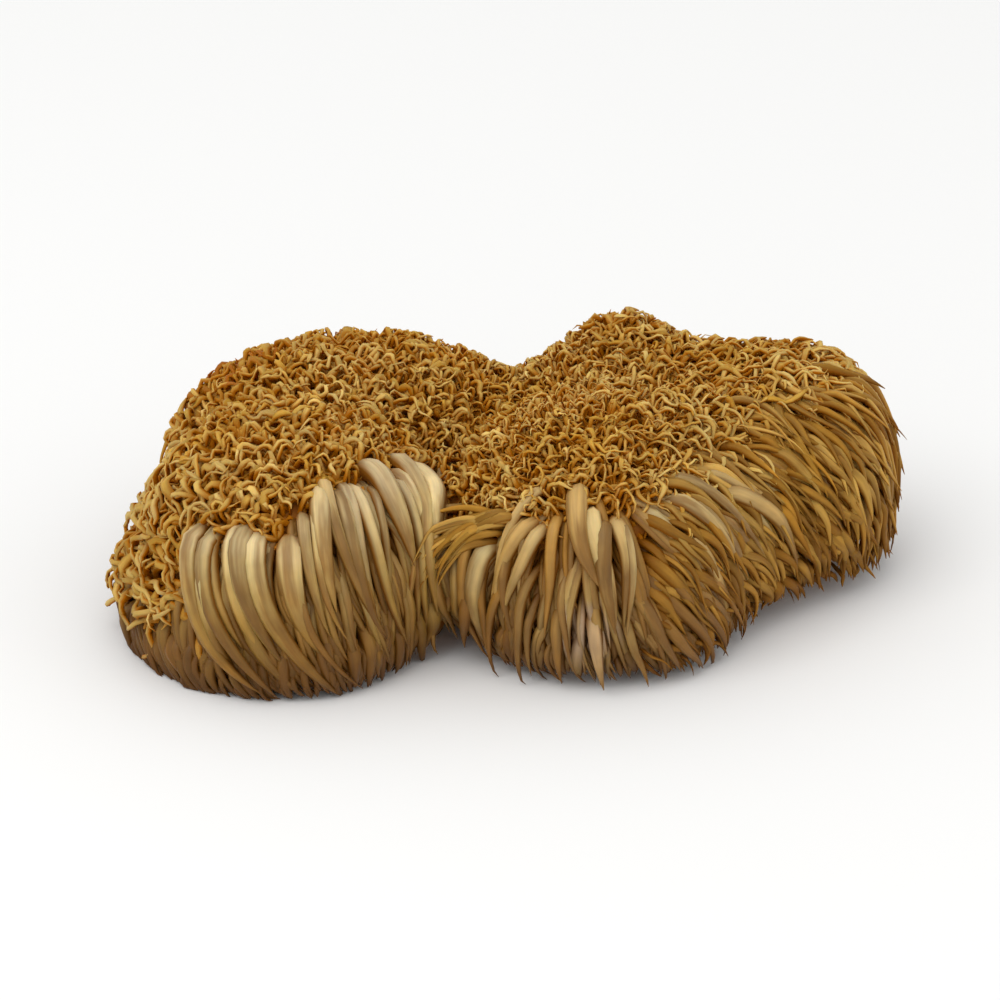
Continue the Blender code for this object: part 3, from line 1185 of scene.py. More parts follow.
@dataclass(frozen=True)
class FleshFinish:
    """The flesh between the spines, and the pale cut below.

    A pattern is noise: its waves to a metre, and how many finer layers it has.
    """

    name: str = "flesh"
    # The skin's dark browns are partly the flesh's own colour and partly painted shade under the spines.
    deep: Colour = (140, 76, 10)
    worn: Colour = (158, 100, 34)
    cut: Colour = (206, 184, 146)
    cut_edge: Colour = (160, 120, 70)
    coarse_pattern: Pair = (260.0, 5.0)
    fine_pattern: Pair = (1400.0, 6.0)
    roughness: Pair = (0.65, 0.9)
    bump: float = 0.5
    relief: float = 0.3 * MM
    soft: float = 0.05
    gloss: float = 0.15

    def make(self) -> bpy.types.Material:
        """The material: blotchy brown, dark partly as painted shade under the spines, and cream where the
        growth attribute says it is cut.
        """
        net = Net(self.name)
        is_cut, _, _, _ = net.growth()
        coarse = net.space_noise(*self.coarse_pattern)
        fine = net.space_noise(*self.fine_pattern)
        worn = net.spread(coarse, *MIDDLE_OF_NOISE, 0.0, 1.0)
        skin = net.mix(worn, net.colour(self.deep), net.colour(self.worn))
        pale = net.spread(fine, *MOST_OF_NOISE, 0.0, 1.0)
        face = net.mix(pale, net.colour(self.cut_edge), net.colour(self.cut))
        net.finish_with(
            net.mix(is_cut, skin, face),
            net.spread(fine, *MOST_OF_NOISE, *self.roughness),
            net.bump(fine, self.bump, self.relief),
            self.soft,
            self.gloss,
        )
        return net.material


# In every finish, gap is the painted shade between the spines and crest the painted highlight on what stands
# out.
CURL_FINISH = SpineFinish(
    name="curls",
    cream=((0.0, (178, 132, 50)), (0.35, (204, 168, 90)), (0.8, (214, 184, 112)), (1.0, (198, 160, 86))),
    golden=((0.0, (166, 114, 22)), (0.35, (186, 140, 50)), (0.8, (196, 154, 68)), (1.0, (180, 132, 44))),
    gap=(172, 102, 2),
    stained=0.25,
    painted_shade_from=0.16,
    painted_shade_to=0.66,
    crest=1.04,
    gloss=0.10,
)
# Lock, lobe and flank colours run from pale on top to dark brown low down: partly the spines' own browning,
# partly painted light and shade.
LOCK_FINISH = SpineFinish(
    name="locks",
    cream=(
        (0.0, (200, 178, 130)), (0.10, (186, 162, 108)), (0.28, (164, 134, 74)), (0.5, (144, 110, 47)),
        (0.75, (118, 82, 26)), (1.0, (92, 58, 10)),
    ),
    golden=(
        (0.0, (178, 142, 82)), (0.10, (168, 130, 68)), (0.28, (152, 111, 50)), (0.5, (132, 92, 34)),
        (0.75, (108, 70, 18)), (1.0, (88, 52, 8)),
    ),
    gap=(140, 88, 20),
    painted_shade_falls=0.6,
    stained=0.6,
    painted_shade_from=0.12,
    painted_shade_to=0.56,
    stripes=0.22,
    roughness=(0.42, 0.62),
)
LOBE_FINISH = replace(
    LOCK_FINISH,
    name="lobe",
    cream=(
        (0.0, (196, 172, 118)), (0.15, (186, 158, 102)), (0.5, (164, 132, 74)), (0.8, (138, 106, 54)),
        (1.0, (106, 74, 28)),
    ),
    golden=(
        (0.0, (164, 120, 50)), (0.15, (154, 110, 42)), (0.5, (138, 96, 34)), (0.8, (120, 80, 26)),
        (1.0, (96, 60, 14)),
    ),
    gap=(132, 78, 6),
    stripes=0.25,
)
FLANK_FINISH = SpineFinish(
    name="flank",
    cream=((0.0, (184, 144, 72)), (0.3, (180, 140, 66)), (0.6, (160, 118, 48)), (1.0, (120, 78, 16))),
    golden=((0.0, (158, 112, 36)), (0.3, (152, 106, 32)), (0.6, (136, 90, 22)), (1.0, (106, 64, 8))),
    gap=(136, 80, 4),
    painted_shade_falls=0.5,
    stain=(132, 84, 20),
    painted_shade_from=0.15,
    painted_shade_to=0.66,
    stripes=0.2,
    gloss=0.12,
)


# ---- The mushroom's own pieces ----


def dress(made: bpy.types.Object, material: bpy.types.Material) -> None:
    """Gives a piece its finish and tells the frame what it is.

    Args:
        made: The piece.
        material: Its material.
    """
    made.data.materials.append(material)
    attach(made, BODY)
    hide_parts(NODE)
    triangles = sum(len(face.vertices) - 2 for face in made.data.polygons)
    log.info("%s: %d vertices, %d triangles", made.name, len(made.data.vertices), triangles)


@dataclass
class Flesh:
    """The solid flesh under the spines, drawn in below to the flat cut on which it rests."""

    rows: int = 90
    columns: int = 200
    lowest: float = -89.0               # slope of the first row, in degrees
    crown_depth: float = 2.4 * MM       # below the outer form on top
    skirt_depth: float = 3.8 * MM       # the same at the sides
    crown: Pair = (0.3, 0.8)            # rise of the form's normal over which sides become top
    undercut_height: float = 10.0 * MM
    undercut_power: float = 1.3
    foot_share: float = 0.66            # the cut's width, as a share of what it would be with no undercut
    relief: float = 0.5 * MM
    relief_size: float = 5.0 * MM
    cut_height: float = 0.25 * MM       # what lies lower belongs to the cut
    tone: float = 0.5

    def build(self) -> None:
        """The flesh: the form's grid, moved in along its normal, pulled in below and cut flat at the foot.

        Rows run from the middle of the underside to the top, and a point closes each end.
        """
        outer = FORM.grid(self.rows, self.columns, self.lowest)
        normal = FORM.outward(outer)
        up = smooth_step(normal[..., 2], *self.crown)
        depth = self.skirt_depth + (self.crown_depth - self.skirt_depth) * up
        depth = depth + self.relief * drift(outer, self.relief_size, 1.0)
        placed = outer - normal * depth[..., None]
        low = np.clip(1 - placed[..., 2] / self.undercut_height, 0, 1)
        placed[..., :2] *= (1 - (1 - self.foot_share) * low**self.undercut_power)[..., None]
        is_cut = placed[..., 2] < self.cut_height
        placed[..., 2] = np.maximum(placed[..., 2], 0.0)
        foot, top = np.zeros(3), placed[-1].mean(axis=0)
        corners = np.concatenate([placed[:-1].reshape(-1, 3), [foot, top]])
        made = put_mesh("flesh", corners, *tube_faces(self.rows - 1, self.columns))
        cut = np.concatenate([is_cut[:-1].ravel(), [True, False]]).astype(float)
        tone = np.full(len(cut), self.tone)
        growth = np.stack([cut, tone, height_share(corners), np.zeros(len(cut))], axis=-1)
        put_attributes(made, growth, corners / MM)
        dress(made, FleshFinish().make())


@dataclass
class TopCurls:
    """One layer of the carpet of short curled spines over the top.

    The places of thickness, gap and combing are along x in millimetres, and their values go with them.
    """

    name: str
    seed: int
    tries: int = 42000                  # places drawn, of which those stay that clear a gap round themselves
    crowding: float = 1.0               # more than 1 sets the curls closer together
    highest: float = 0.8                # how far over the form a curl's back rises, in millimetres
    lowest: float = -1.0
    bright: float = 0.55
    overhang: float = -0.3 * MM         # how far inside the crown's edge the outermost curls root
    ragged: float = 0.5                 # how much that differs, in millimetres
    front: float = -5.0 * MM            # up to which y it is the front
    front_floor: float = 8.5 * MM       # how low they root in front, and elsewhere
    back_floor: float = 15.0 * MM
    pointed: float = 0.5                # share of the curls that end in a fine point
    points: int = 12
    sides: int = 5
    spacing: float = 1.15               # from root to root, in thicknesses
    thick_places: Row = (-57.0, -41.0, -21.0, -1.0, 22.0, 49.0)
    thickness: Row = (1.30, 1.10, 0.90, 0.74, 0.76, 0.95)   # in millimetres
    uneven: Pair = (0.7, 1.25)          # how the thicknesses differ from that
    lengths: Pair = (4.2, 7.5)          # in millimetres, of a curl that is 1 mm thick
    curl: float = 0.22                  # how far a curl bends at every stride, in radians
    # The bends also come in waves: how strong they are, and the fewest and the most along a curl.
    kinks: tuple[Triple, ...] = ((0.38, 0.6, 1.5), (0.45, 1.8, 3.2))
    stain: Triple = (-36.0, 26.0, 12.0)     # x, y and reach of a russet stain, in mm
    paler: Triple = (44.0, 12.0, 9.0)   # the same of a paler patch
    combed_places: Row = (10.0, 28.0, 46.0)
    combed: Row = (0.0, 0.6, 0.85)      # how far the curls all lie one way there
    combed_way: Triple = (0.95, -0.35, 0.0)
    fade_places: Row = (3.0, 8.0, 14.0, 20.0, 30.0, 42.0)
    fades: Row = (0.0, -1.2, -1.2, 0.0, 7.0, 12.0)  # how far in they grow sparse, in mm
    end: Pair = (-38.0, -50.0)          # x between which they come to run round the left end
    end_centre: Pair = (-30.0, 3.0)
    drawn: float = 1.6                  # how strongly curls are drawn to those two ways
    guided: float = 0.75                # how far those at the left end lose their own way
    longer: Pair = (0.8, 0.45)          # how much longer they are where combed, at the end
    straighter: Pair = (0.65, 0.35)     # how much less they bend there
    root_depth: float = -2.4            # of the roots below the form, in millimetres
    up_at: float = 0.35                 # share along a curl at which it has come up to its back
    on_from: float = 0.4                # share from which it goes on to its end's height
    ends: Pair = (-1.8, 1.2)            # height of its end over its back, in millimetres
    ripple: float = 0.55                # how far it rises and dips on its way, in millimetres
    ripples: Pair = (8.0, 16.0)         # how long that way is, in radians
    heap: float = 0.5                   # how far the carpet as a whole rises and dips, in millimetres
    top_height: float = 1.2             # over the form, which no curl passes before it dives
    dive_from: float = 0.2              # how far inside the edge they start to dive, in millimetres
    dive_places: Pair = (-9.0, 8.0)
    dives: Pair = (0.9, 0.4)            # how far a curl dives for each length past that
    along: Row = (0.0, 0.15, 0.7, 0.9, 1.0)     # shares along a blunt curl
    blunt: Row = (0.8, 1.0, 0.9, 0.7, 0.35)     # its thickness there
    fine_along: Row = (0.0, 0.15, 0.5, 0.85, 1.0)   # the same of a pointed one
    fine: Row = (0.9, 1.05, 0.85, 0.42, 0.10)
    beading: float = 0.15               # how far the thickness swells and shrinks on its way
    beads: float = 14.0                 # how long that way is, in radians
    tone_differs: float = 0.24
    tone_drift: Triple = (0.15, 22 * MM, 2.0)   # how far, over what length, seed
    warm: float = 0.45
    warm_differs: float = 0.22
    warm_drift: Triple = (0.25, 30 * MM, 4.0)
    warmths: Pair = (0.2, 0.86)         # between which they stay outside the stain
    stain_warms: float = 0.5
    patch_cools: float = 0.3
    patch_lightens: float = 0.2
    low_from: float = 24.0 * MM         # height under which the curls grow cooler, and darker as painted shade
    low_painted_shade: float = 0.7
    low_cools: float = 0.3
    low_warmth: float = 0.25            # but no cooler than this
    quarters: Pair = (2 * MM, 3 * MM)   # x and y at which the layer is split into pieces

    def roots(self, rng: Chance) -> tuple[Array, Array]:
        """Where the curls root, and how thick each is.

        Args:
            rng: Draws the places.

        Returns:
            The places, (N, 3), and the thicknesses, (N,).
        """
        places = FORM.scatter(rng, self.tries)
        floor = np.where(places[:, 1] < self.front, self.front_floor, self.back_floor)
        places = places[places[:, 2] > floor]
        fade = sparse(places, self.fade_places, self.fades) * rng.random(len(places))
        ragged = rng.normal(0, self.ragged, len(places)) * MM
        places = places[EDGE.inset(places) > self.overhang + ragged + fade]
        thick = np.interp(places[:, 0] / MM, self.thick_places, self.thickness) * MM
        kept = thinned(places, self.spacing * thick / self.crowding)
        return places[kept], thick[kept] * rng.uniform(*self.uneven, len(kept))

    def courses(self, roots: Array, thick: Array, rng: Chance) -> Array:
        """The curls' lines on the form: each sets out its own way, and kinks and turns as it goes.

        Args:
            roots: Where they root, (N, 3).
            thick: How thick they are, (N,).
            rng: Draws what varies.

        Returns:
            The lines, (N, points, 3).
        """
        count, strides = len(roots), self.points - 1
        combed = np.interp(roots[:, 0] / MM, self.combed_places, self.combed)[:, None]
        ended = 1 - smooth_step(roots[:, :1] / MM, self.end[1], self.end[0])
        length = rng.uniform(*self.lengths, count) * MM * np.sqrt(thick / MM)
        length = length * (1 + (self.longer[0] * combed + self.longer[1] * ended)[:, 0])
        centre = np.array([*self.end_centre, 0.0]) * MM
        round_it = unit(np.cross(roots - centre, [0.0, 0.0, 1.0])) * rng.choice([-1.0, 1.0], (count, 1))
        own_way = rng.normal(0, 1, (count, 3)) * (1 - combed) * (1 - self.guided * ended)
        heading = own_way + round_it * self.drawn * ended
        heading = unit(heading + np.array(self.combed_way) * combed * self.drawn)
        step = np.linspace(0, 2 * math.pi, strides)
        bend = rng.normal(0, self.curl, (count, 1))
        for strong, fewest, most in self.kinks:
            turns = rng.uniform(fewest, most, (count, 1)) * step + rng.uniform(0, ABOUT_A_TURN, (count, 1))
            bend = bend + rng.normal(0, strong, (count, 1)) * np.sin(turns)
        bend = bend * (1 - self.straighter[0] * combed) * (1 - self.straighter[1] * ended)
        return wandering(roots, length, heading, bend)

    def heights(self, line: Array, rng: Chance) -> Array:
        """How high each curl lies over the form on its way.

        It comes up from its root to its back, goes on to its end's height, and rises and dips besides. Past
        the crown's edge it dives under the heads of the locks there.

        Args:
            line: The lines, (N, M, 3).
            rng: Draws what varies.

        Returns:
            Heights in millimetres, (N, M).
        """
        count = len(line)
        share = np.linspace(0, 1, self.points)[None, :]
        peak = rng.uniform(self.lowest, self.highest, (count, 1))
        end = peak + rng.uniform(*self.ends, (count, 1))
        up = 1 - (1 - np.clip(share / self.up_at, 0, 1)) ** 2
        on = np.clip((share - self.on_from) / (1 - self.on_from), 0, 1) ** 1.5
        height = self.root_depth + (peak - self.root_depth) * up + (end - peak) * on
        ripple = share * rng.uniform(*self.ripples, (count, 1)) + rng.uniform(0, ABOUT_A_TURN, (count, 1))
        height = height + self.ripple * np.sin(ripple)
        height = height + self.heap * drift(line, 4.5 * MM, 3.0)
        inset = EDGE.inset(line.reshape(-1, 3)).reshape(count, -1) / MM
        dive = np.interp(line[..., 0] / MM, self.dive_places, self.dives)
        return np.minimum(height, self.top_height) - dive * np.clip(self.dive_from - inset, 0, 2)

    def radii(self, thick: Array, rng: Chance) -> Array:
        """How thick each curl is on its way, pointed or blunt.

        Args:
            thick: Its thickness, (N,).
            rng: Draws which are pointed.

        Returns:
            Radii, (N, points).
        """
        count = len(thick)
        share = np.linspace(0, 1, self.points)[None, :]
        blunt = np.interp(share, self.along, self.blunt)
        fine = np.interp(share, self.fine_along, self.fine)
        radius = thick[:, None] / 2 * np.where(rng.random((count, 1)) < self.pointed, fine, blunt)
        beads = np.sin(share * self.beads + rng.uniform(0, ABOUT_A_TURN, (count, 1)))
        return radius * (1 + self.beading * beads)

    def colours(self, roots: Array, rng: Chance) -> tuple[Array, Array]:
        """How pale and how warm each curl is, by chance, by slow drifts and by the patches, with painted
        shade darkening the low ones.

        Args:
            roots: Where they root, (N, 3).
            rng: Draws what varies.

        Returns:
            Tones and warmths, (N,).
        """
        x, y = roots[:, 0] / MM, roots[:, 1] / MM
        away = [np.hypot(x - patch[0], y - patch[1]) / patch[2] for patch in (self.stain, self.paler)]
        stained, pale = np.exp(-(away[0] ** 2)), np.exp(-(away[1] ** 2))
        low = np.clip(1 - roots[:, 2] / self.low_from, 0, 1)
        tone = varied(self.bright, self.tone_differs, self.tone_drift, roots, rng)
        warmth = varied(self.warm, self.warm_differs, self.warm_drift, roots, rng)
        tone = tone + self.patch_lightens * pale - self.low_painted_shade * low
        warmth = np.clip(warmth - self.patch_cools * pale, *self.warmths) + self.stain_warms * stained
        warmth = np.maximum(warmth - self.low_cools * low, self.low_warmth)
        return np.clip(tone, 0, 1), np.clip(warmth, 0, 1)

    def grow(self) -> Spines:
        """The layer's curls."""
        rng = np.random.default_rng(self.seed)
        roots, thick = self.roots(rng)
        line = self.courses(roots, thick, rng)
        height = self.heights(line, rng) * MM
        line = raised(line, height, 0 * height)
        radius = self.radii(thick, rng)
        tone, warmth = self.colours(roots, rng)
        return Spines(
            line, radius, tone, warmth, fall=None, flatness=0.62, lumps=0.16, roll=0.7, shading=0.75
        )

    def build(self, material: bpy.types.Material) -> None:
        """The layer as four pieces, by where the curls root.

        Args:
            material: The curls' material.
        """
        rng = np.random.default_rng(self.seed + 1)
        spines = self.grow()
        log.info("%s: %d spines", self.name, len(spines.tone))
        left, back = spines.line[:, 0, 0] < self.quarters[0], spines.line[:, 0, 1] > self.quarters[1]
        for quarter, chosen in (
            ("left_front", left & ~back),
            ("left_back", left & back),
            ("right_front", ~left & ~back),
            ("right_back", ~left & back),
        ):
            piece = SpinePiece(spines.those(chosen), self.sides)
            dress(piece.build(f"{self.name}_{quarter}", rng), material)


@dataclass
class Mane:
    """Locks of long spines that hang over one stretch of the sides.

    The places of lean and tip height are along x in millimetres, and their values go with them. A lean is how
    far a lock goes to the right for each length it goes down, at its head and at its foot.
    """

    name: str
    seed: int
    finish: SpineFinish
    gap: float                                  # from root to root
    width: float                                # of a lock at its head
    each: int                                   # strands to a lock
    where: tuple[float, float, float, float] = (-60.0, 60.0, -45.0, 45.0)   # x from, to, y from, to, in mm
    tries: int = 30000                          # places drawn, of which those stay that clear the gap
    lean_places: Row = (0.0,)
    head_leans: Row = (0.0,)
    foot_leans: Row = (0.0,)
    tip_places: Row = (0.0,)
    tips: Row = (1.0,)                          # how far over the floor they end, in millimetres
    tips_differ: float = 0.9                    # how much higher some end, in millimetres
    heading: Triple = (0.0, 0.0, 0.0)           # the way all are drawn at their roots
    least_fall: float = 2.5 * MM
    slack: float = 1.10                         # a lock's length over the straight way down
    longest: float = 34.0 * MM
    lengths_differ: Pair = (0.85, 1.05)         # how the longest ones differ
    shortest: float = 0.75                      # of a strand, as a share of its lock
    blunt: float = 0.0                          # how blunt the tips are
    inset: float = -0.5 * MM                    # how far inside the crown's edge the first ones root
    fade_places: Row = (0.0,)
    fades: Row = (0.0,)                         # how far inside that, in millimetres, they thin out to none
    always: float = 13.0 * MM                   # the height under which they root inside the edge as well
    lowest: float = 7.5 * MM                    # the height under which none root
    highest: float = 60.0 * MM                  # the height over which none root
    root_depth: float = -3.2                    # of a lock's root under the form, in millimetres
    bend_at: float = 0.30                       # share along it at which a lock has come up to the form
    lift: float = -0.3                          # height of a lock's back over the form, in millimetres
    tip_lift: float = -0.8
    splay: float = 0.0                          # how far, at random, tips stand out beyond that
    layers: float = 0.9                         # how much lower than that the lowest of them lie
    waves: float = 0.5                          # how far a lock sways to its sides, in millimetres
    wave_length: float = 6.0 * MM               # of that for each radian
    uneven: float = 0.25                        # how much the widths differ
    head_width: float = 0.85                    # a lock's width at its root, then halfway, then at its tip
    middle_width: float = 0.9
    tip_width: float = 0.75
    full_length: float = 9.0 * MM               # length under which a lock is narrower
    sways: Pair = (0.2, 1.0)                    # how the sways differ, and then how their lengths do
    sway_paces: Pair = (0.7, 1.3)
    stray: float = 0.08                         # how much the leans differ
    lean_drift: Triple = (0.10, 14 * MM, 6.0)   # how far, over what length, seed
    tone_drift: Triple = (0.15, 16 * MM, 8.0)
    warm_drift: Triple = (0.20, 24 * MM, 9.0)
    warmths: Pair = (0.2, 0.88)                 # between which they stay
    strands_vary: float = 0.10                  # how much tones differ within a lock
    straight_behind: float = 0.35               # rise of the form's normal to the back, past which none lean
    straightening: float = 0.5                  # over how much of that the leans fade
    blush: float = 0.0                          # how far the locks round the blushing place turn to it
    blush_at: tuple[float, float, float, float] = (12.0, 7.0, 9.0, 7.0)     # its x, reach, z and reach
    colour_from: float = 28.0 * MM              # least height from which the colours run down, darker lower down, partly as painted shade
    clump: float = 6.0 * MM
    clumping: float = 0.4
    warm: float = 0.4
    pale: float = 0.5
    vary: float = 0.2                           # how much the spines' tones differ
    flatness: float = 0.8
    lumps: float = 0.10
    # painted shade on the spines' sides, as in Spines
    shading: float = 0.25
    points: int = 15
    sides: int = 7

    def roots(self, rng: Chance) -> Array:
        """Where the locks root: spread evenly over the stretch, outside the crown's edge.

        Args:
            rng: Draws the places.

        Returns:
            The places, (N, 3).
        """
        places = FORM.scatter(rng, self.tries)
        x, y, z = places[:, 0] / MM, places[:, 1] / MM, places[:, 2]
        inside = (x > self.where[0]) & (x <= self.where[1]) & (y > self.where[2]) & (y <= self.where[3])
        places = places[inside & (z > self.lowest) & (z < self.highest)]
        fade = sparse(places, self.fade_places, self.fades) * rng.random(len(places))
        places = places[(EDGE.inset(places) < self.inset + fade) | (places[:, 2] < self.always)]
        return places[thinned(places, np.full(len(places), self.gap))]

    def courses(self, roots: Array, rng: Chance) -> tuple[Array, Array]:
        """The locks' lines on the form, combed downhill and gathered.

        Only locks in front lean. Those at the sides and the back hang straight.

        Args:
            roots: Where they root, (N, 3).
            rng: Draws what varies.

        Returns:
            The lines, (N, points, 3), and how long they are, (N,).
        """
        count = len(roots)
        in_front = np.clip((self.straight_behind - FORM.outward(roots)[:, 1]) / self.straightening, 0, 1)
        own = varied(0.0, self.stray, self.lean_drift, roots, rng)
        leans = [
            np.interp(roots[:, 0] / MM, self.lean_places, side) * in_front + own
            for side in (self.head_leans, self.foot_leans)
        ]
        tip = np.interp(roots[:, 0] / MM, self.tip_places, self.tips)
        tip = tip + np.abs(rng.normal(0, self.tips_differ, count))
        fall = np.maximum(roots[:, 2] - tip * MM, self.least_fall)
        slanted = np.sqrt(1 + (0.5 * (leans[0] + leans[1])) ** 2)
        longest = self.longest * rng.uniform(*self.lengths_differ, count)
        length = np.minimum(fall * slanted * self.slack, longest)
        line = downhill(roots, length, *leans, np.array(self.heading), self.points)
        return gathered(line, self.clump, self.clumping, rng), length

    def heights(self, share: Array, count: int, rng: Chance) -> Array:
        """Each lock's height over the form along it: up to its back, then on to its tip.

        Args:
            share: Shares along it, (1, points).
            count: How many locks.
            rng: Draws what varies.

        Returns:
            Heights in millimetres, (count, points).
        """
        places = (0.0, self.bend_at / 2, self.bend_at, 1.0)
        coming_up = 0.35 * self.root_depth + 0.65 * self.lift
        height = np.interp(share, places, (self.root_depth, coming_up, self.lift, self.tip_lift))
        height = height - rng.uniform(0, self.layers, (count, 1))
        splay = np.abs(rng.normal(0, self.splay, (count, 1)))
        return height + splay * np.clip((share - 0.5) / 0.5, 0, 1) ** 1.5

    def laid(self, line: Array, length: Array, rng: Chance) -> Array:
        """The lines laid over each other like thatch, and swaying to their sides.

        Args:
            line: The lines on the form, (N, points, 3).
            length: How long they are, (N,).
            rng: Draws what varies.

        Returns:
            The lines, (N, points, 3).
        """
        count = len(line)
        share = np.linspace(0, 1, self.points)[None, :]
        height = self.heights(share, count, rng)
        turns = share * length[:, None] / self.wave_length * rng.uniform(*self.sway_paces, (count, 1))
        sway = np.sin(turns + rng.uniform(0, ABOUT_A_TURN, (count, 1))) * np.clip(share * 2, 0, 1)
        return raised(line, height * MM, sway * rng.uniform(*self.sways, (count, 1)) * self.waves * MM)

    def widths(self, length: Array, rng: Chance) -> Array:
        """How wide each lock is along it.

        Args:
            length: How long the locks are, (N,).
            rng: Draws how the widths differ.

        Returns:
            Widths, (N, points).
        """
        share = np.linspace(0, 1, self.points)[None, :]
        width = self.width * rng.uniform(1 - self.uneven, 1 + self.uneven, (len(length), 1))
        places = (0.0, self.bend_at * 0.6, 0.5, 1.0)
        width = width * np.interp(share, places, (self.head_width, 1.0, self.middle_width, self.tip_width))
        return width * np.clip(length[:, None] / self.full_length, 0.5, 1.0)

    def colours(self, roots: Array, rng: Chance) -> tuple[Array, Array]:
        """How pale and how warm each strand is, by its lock, by slow drifts and by chance.

        Args:
            roots: Where the locks root, (N, 3).
            rng: Draws what varies.

        Returns:
            Tones and warmths, (N * each,).
        """
        tone = varied(self.pale, self.vary, self.tone_drift, roots, rng)
        warmth = varied(self.warm, self.vary, self.warm_drift, roots, rng)
        tone = np.repeat(tone, self.each) + rng.normal(0, self.strands_vary, len(roots) * self.each)
        return np.clip(tone, 0, 1), np.repeat(np.clip(warmth, *self.warmths), self.each)

    def grow(self) -> Spines:
        """The stretch's spines."""
        rng = np.random.default_rng(self.seed)
        roots = self.roots(rng)
        line, length = self.courses(roots, rng)
        line = self.laid(line, length, rng)
        splitting = Splitting(self.each, self.shortest, self.blunt)
        line, radius = splitting.split(line, self.widths(length, rng), rng)
        tone, warmth = self.colours(roots, rng)
        line = above_floor(line, radius)
        fall = np.maximum(line[..., 2].max(axis=1), self.colour_from)
        return Spines(
            line, radius, tone, warmth, fall, self.flatness, self.lumps, roll=0.0,
            shading=self.shading, blush=self.blush, blush_at=self.blush_at,
        )

    def build(self) -> None:
        """The stretch as one piece."""
        spines = self.grow()
        log.info("%s: %d spines", self.name, len(spines.tone))
        made = SpinePiece(spines, self.sides).build(self.name, np.random.default_rng(self.seed + 1))
        dress(made, self.finish.make())


@dataclass
class KnuckleRow(Mane):
    """The first row of thick locks, which bend over like knuckles at the crown's edge."""

    start: int = 0                              # the numbers of the places along the crown's edge
    stop: int = 1
    part: Pair = (0.0, 1.0)                     # the shares of that stretch that it takes
    stagger: float = 0.9 * MM                   # how far they are out of line
    colour_from: float = 18.0 * MM

    def roots(self, rng: Chance) -> Array:
        """Roots in a row along the crown's edge, a little out of line."""
        return EDGE.row(self.start, self.stop, self.part, self.gap, self.stagger, rng)


# Places along x in millimetres, and how far the locks there lean at the head and at the foot.
LEANS = (
    (-57.0, 0.0, 0.9), (-50.0, -0.15, 1.2), (-45.0, -0.35, 1.4), (-38.0, -0.30, 1.3),
    (-30.0, -0.12, 1.0), (-23.0, -0.10, 0.6), (-15.0, 0.0, 0.25), (-9.0, 0.0, 0.0),
    (-1.0, -0.40, 0.5), (5.0, -0.45, 0.3), (11.0, 0.0, 0.2), (15.0, 0.55, 0.3),
    (20.0, 0.95, 0.4), (27.0, 1.15, 0.35), (36.0, 1.0, 0.25), (50.0, 0.6, 0.15),
)
LEAN_PLACES, HEAD_LEANS, FOOT_LEANS = zip(*LEANS)
COMBED = {
    "lean_places": LEAN_PLACES, "head_leans": HEAD_LEANS, "foot_leans": FOOT_LEANS,
    "tip_places": (-60.0, 8.0, 22.0, 34.0, 50.0), "tips": (-1.0, -0.4, -0.6, 1.0, 2.0),
}
HOLLOW = COMBED | {"tip_places": (0.0, 6.0, 10.0, 17.0, 21.0), "tips": (-0.6, 5.0, 9.0, 7.0, -0.6)}
LOBE_BLUSH = {"blush_at": (10.0, 6.0, 9.5, 6.0)}
KNUCKLES = {
    "root_depth": -3.4, "bend_at": 0.13, "tip_lift": -0.3, "points": 18, "sides": 9, "clumping": 0.35,
    "clump": 5 * MM, "shortest": 0.6, "shading": 0.75, "flatness": 0.95, "vary": 0.2, "each": 1,
}
BACKING = {
    "root_depth": -3.0, "bend_at": 0.16, "lift": -0.9, "tip_lift": -1.1, "stagger": 0.8 * MM,
    "clumping": 0.5, "clump": 4 * MM, "shortest": 0.7, "shading": 0.5, "waves": 1.0, "each": 2,
}
SIDE = {
    "layers": 1.6, "clumping": 0.55, "clump": 4.5 * MM, "shortest": 0.6, "uneven": 0.35,
    "shading": 0.5, "waves": 0.9, "lift": -0.6, "tip_lift": -0.9,
}
HEM = {
    "lowest": 2.5 * MM, "highest": 9.5 * MM, "root_depth": -2.8, "lift": -0.7, "tip_lift": -1.2,
    "points": 9, "pale": 0.2, "warm": 0.6, "clumping": 0.2, "blunt": 0.5, "shading": 0.5, "each": 1,
}


def left_manes() -> list[Mane]:
    """The left lobe's mane in front, from its knuckles down to its hem."""
    return [
        KnuckleRow(
            "left_knuckles", 21, LOCK_FINISH, gap=1.7 * MM, width=2.7 * MM, start=2, stop=9,
            part=(0.0, 0.93), layers=1.2, warm=0.34, pale=0.6, uneven=0.4, stagger=1.5 * MM,
            lift=0.5, waves=0.8, heading=(0.0, -0.9, 0.0), blush=0.5, blush_at=(-22.0, 6.0, 24.0, 8.0),
            **KNUCKLES, **COMBED,
        ),
        KnuckleRow(
            "left_backing", 31, LOCK_FINISH, gap=2.1 * MM, width=2.0 * MM, start=2, stop=9,
            warm=0.5, pale=0.4, heading=(0.0, -0.7, 0.0), **BACKING, **COMBED,
        ),
        Mane(
            "left_mane", 22, LOCK_FINISH, gap=2.7 * MM, width=2.1 * MM, each=2,
            where=(-61.0, -7.0, -45.0, -10.0), warm=0.5, pale=0.34, colour_from=19 * MM,
            **SIDE, **COMBED,
        ),
        Mane(
            "left_hem", 42, LOCK_FINISH, gap=1.9 * MM, width=1.8 * MM,
            where=(-61.0, -7.0, -45.0, -6.0), colour_from=19 * MM, **(HEM | {"pale": 0.1}), **COMBED,
        ),
    ]


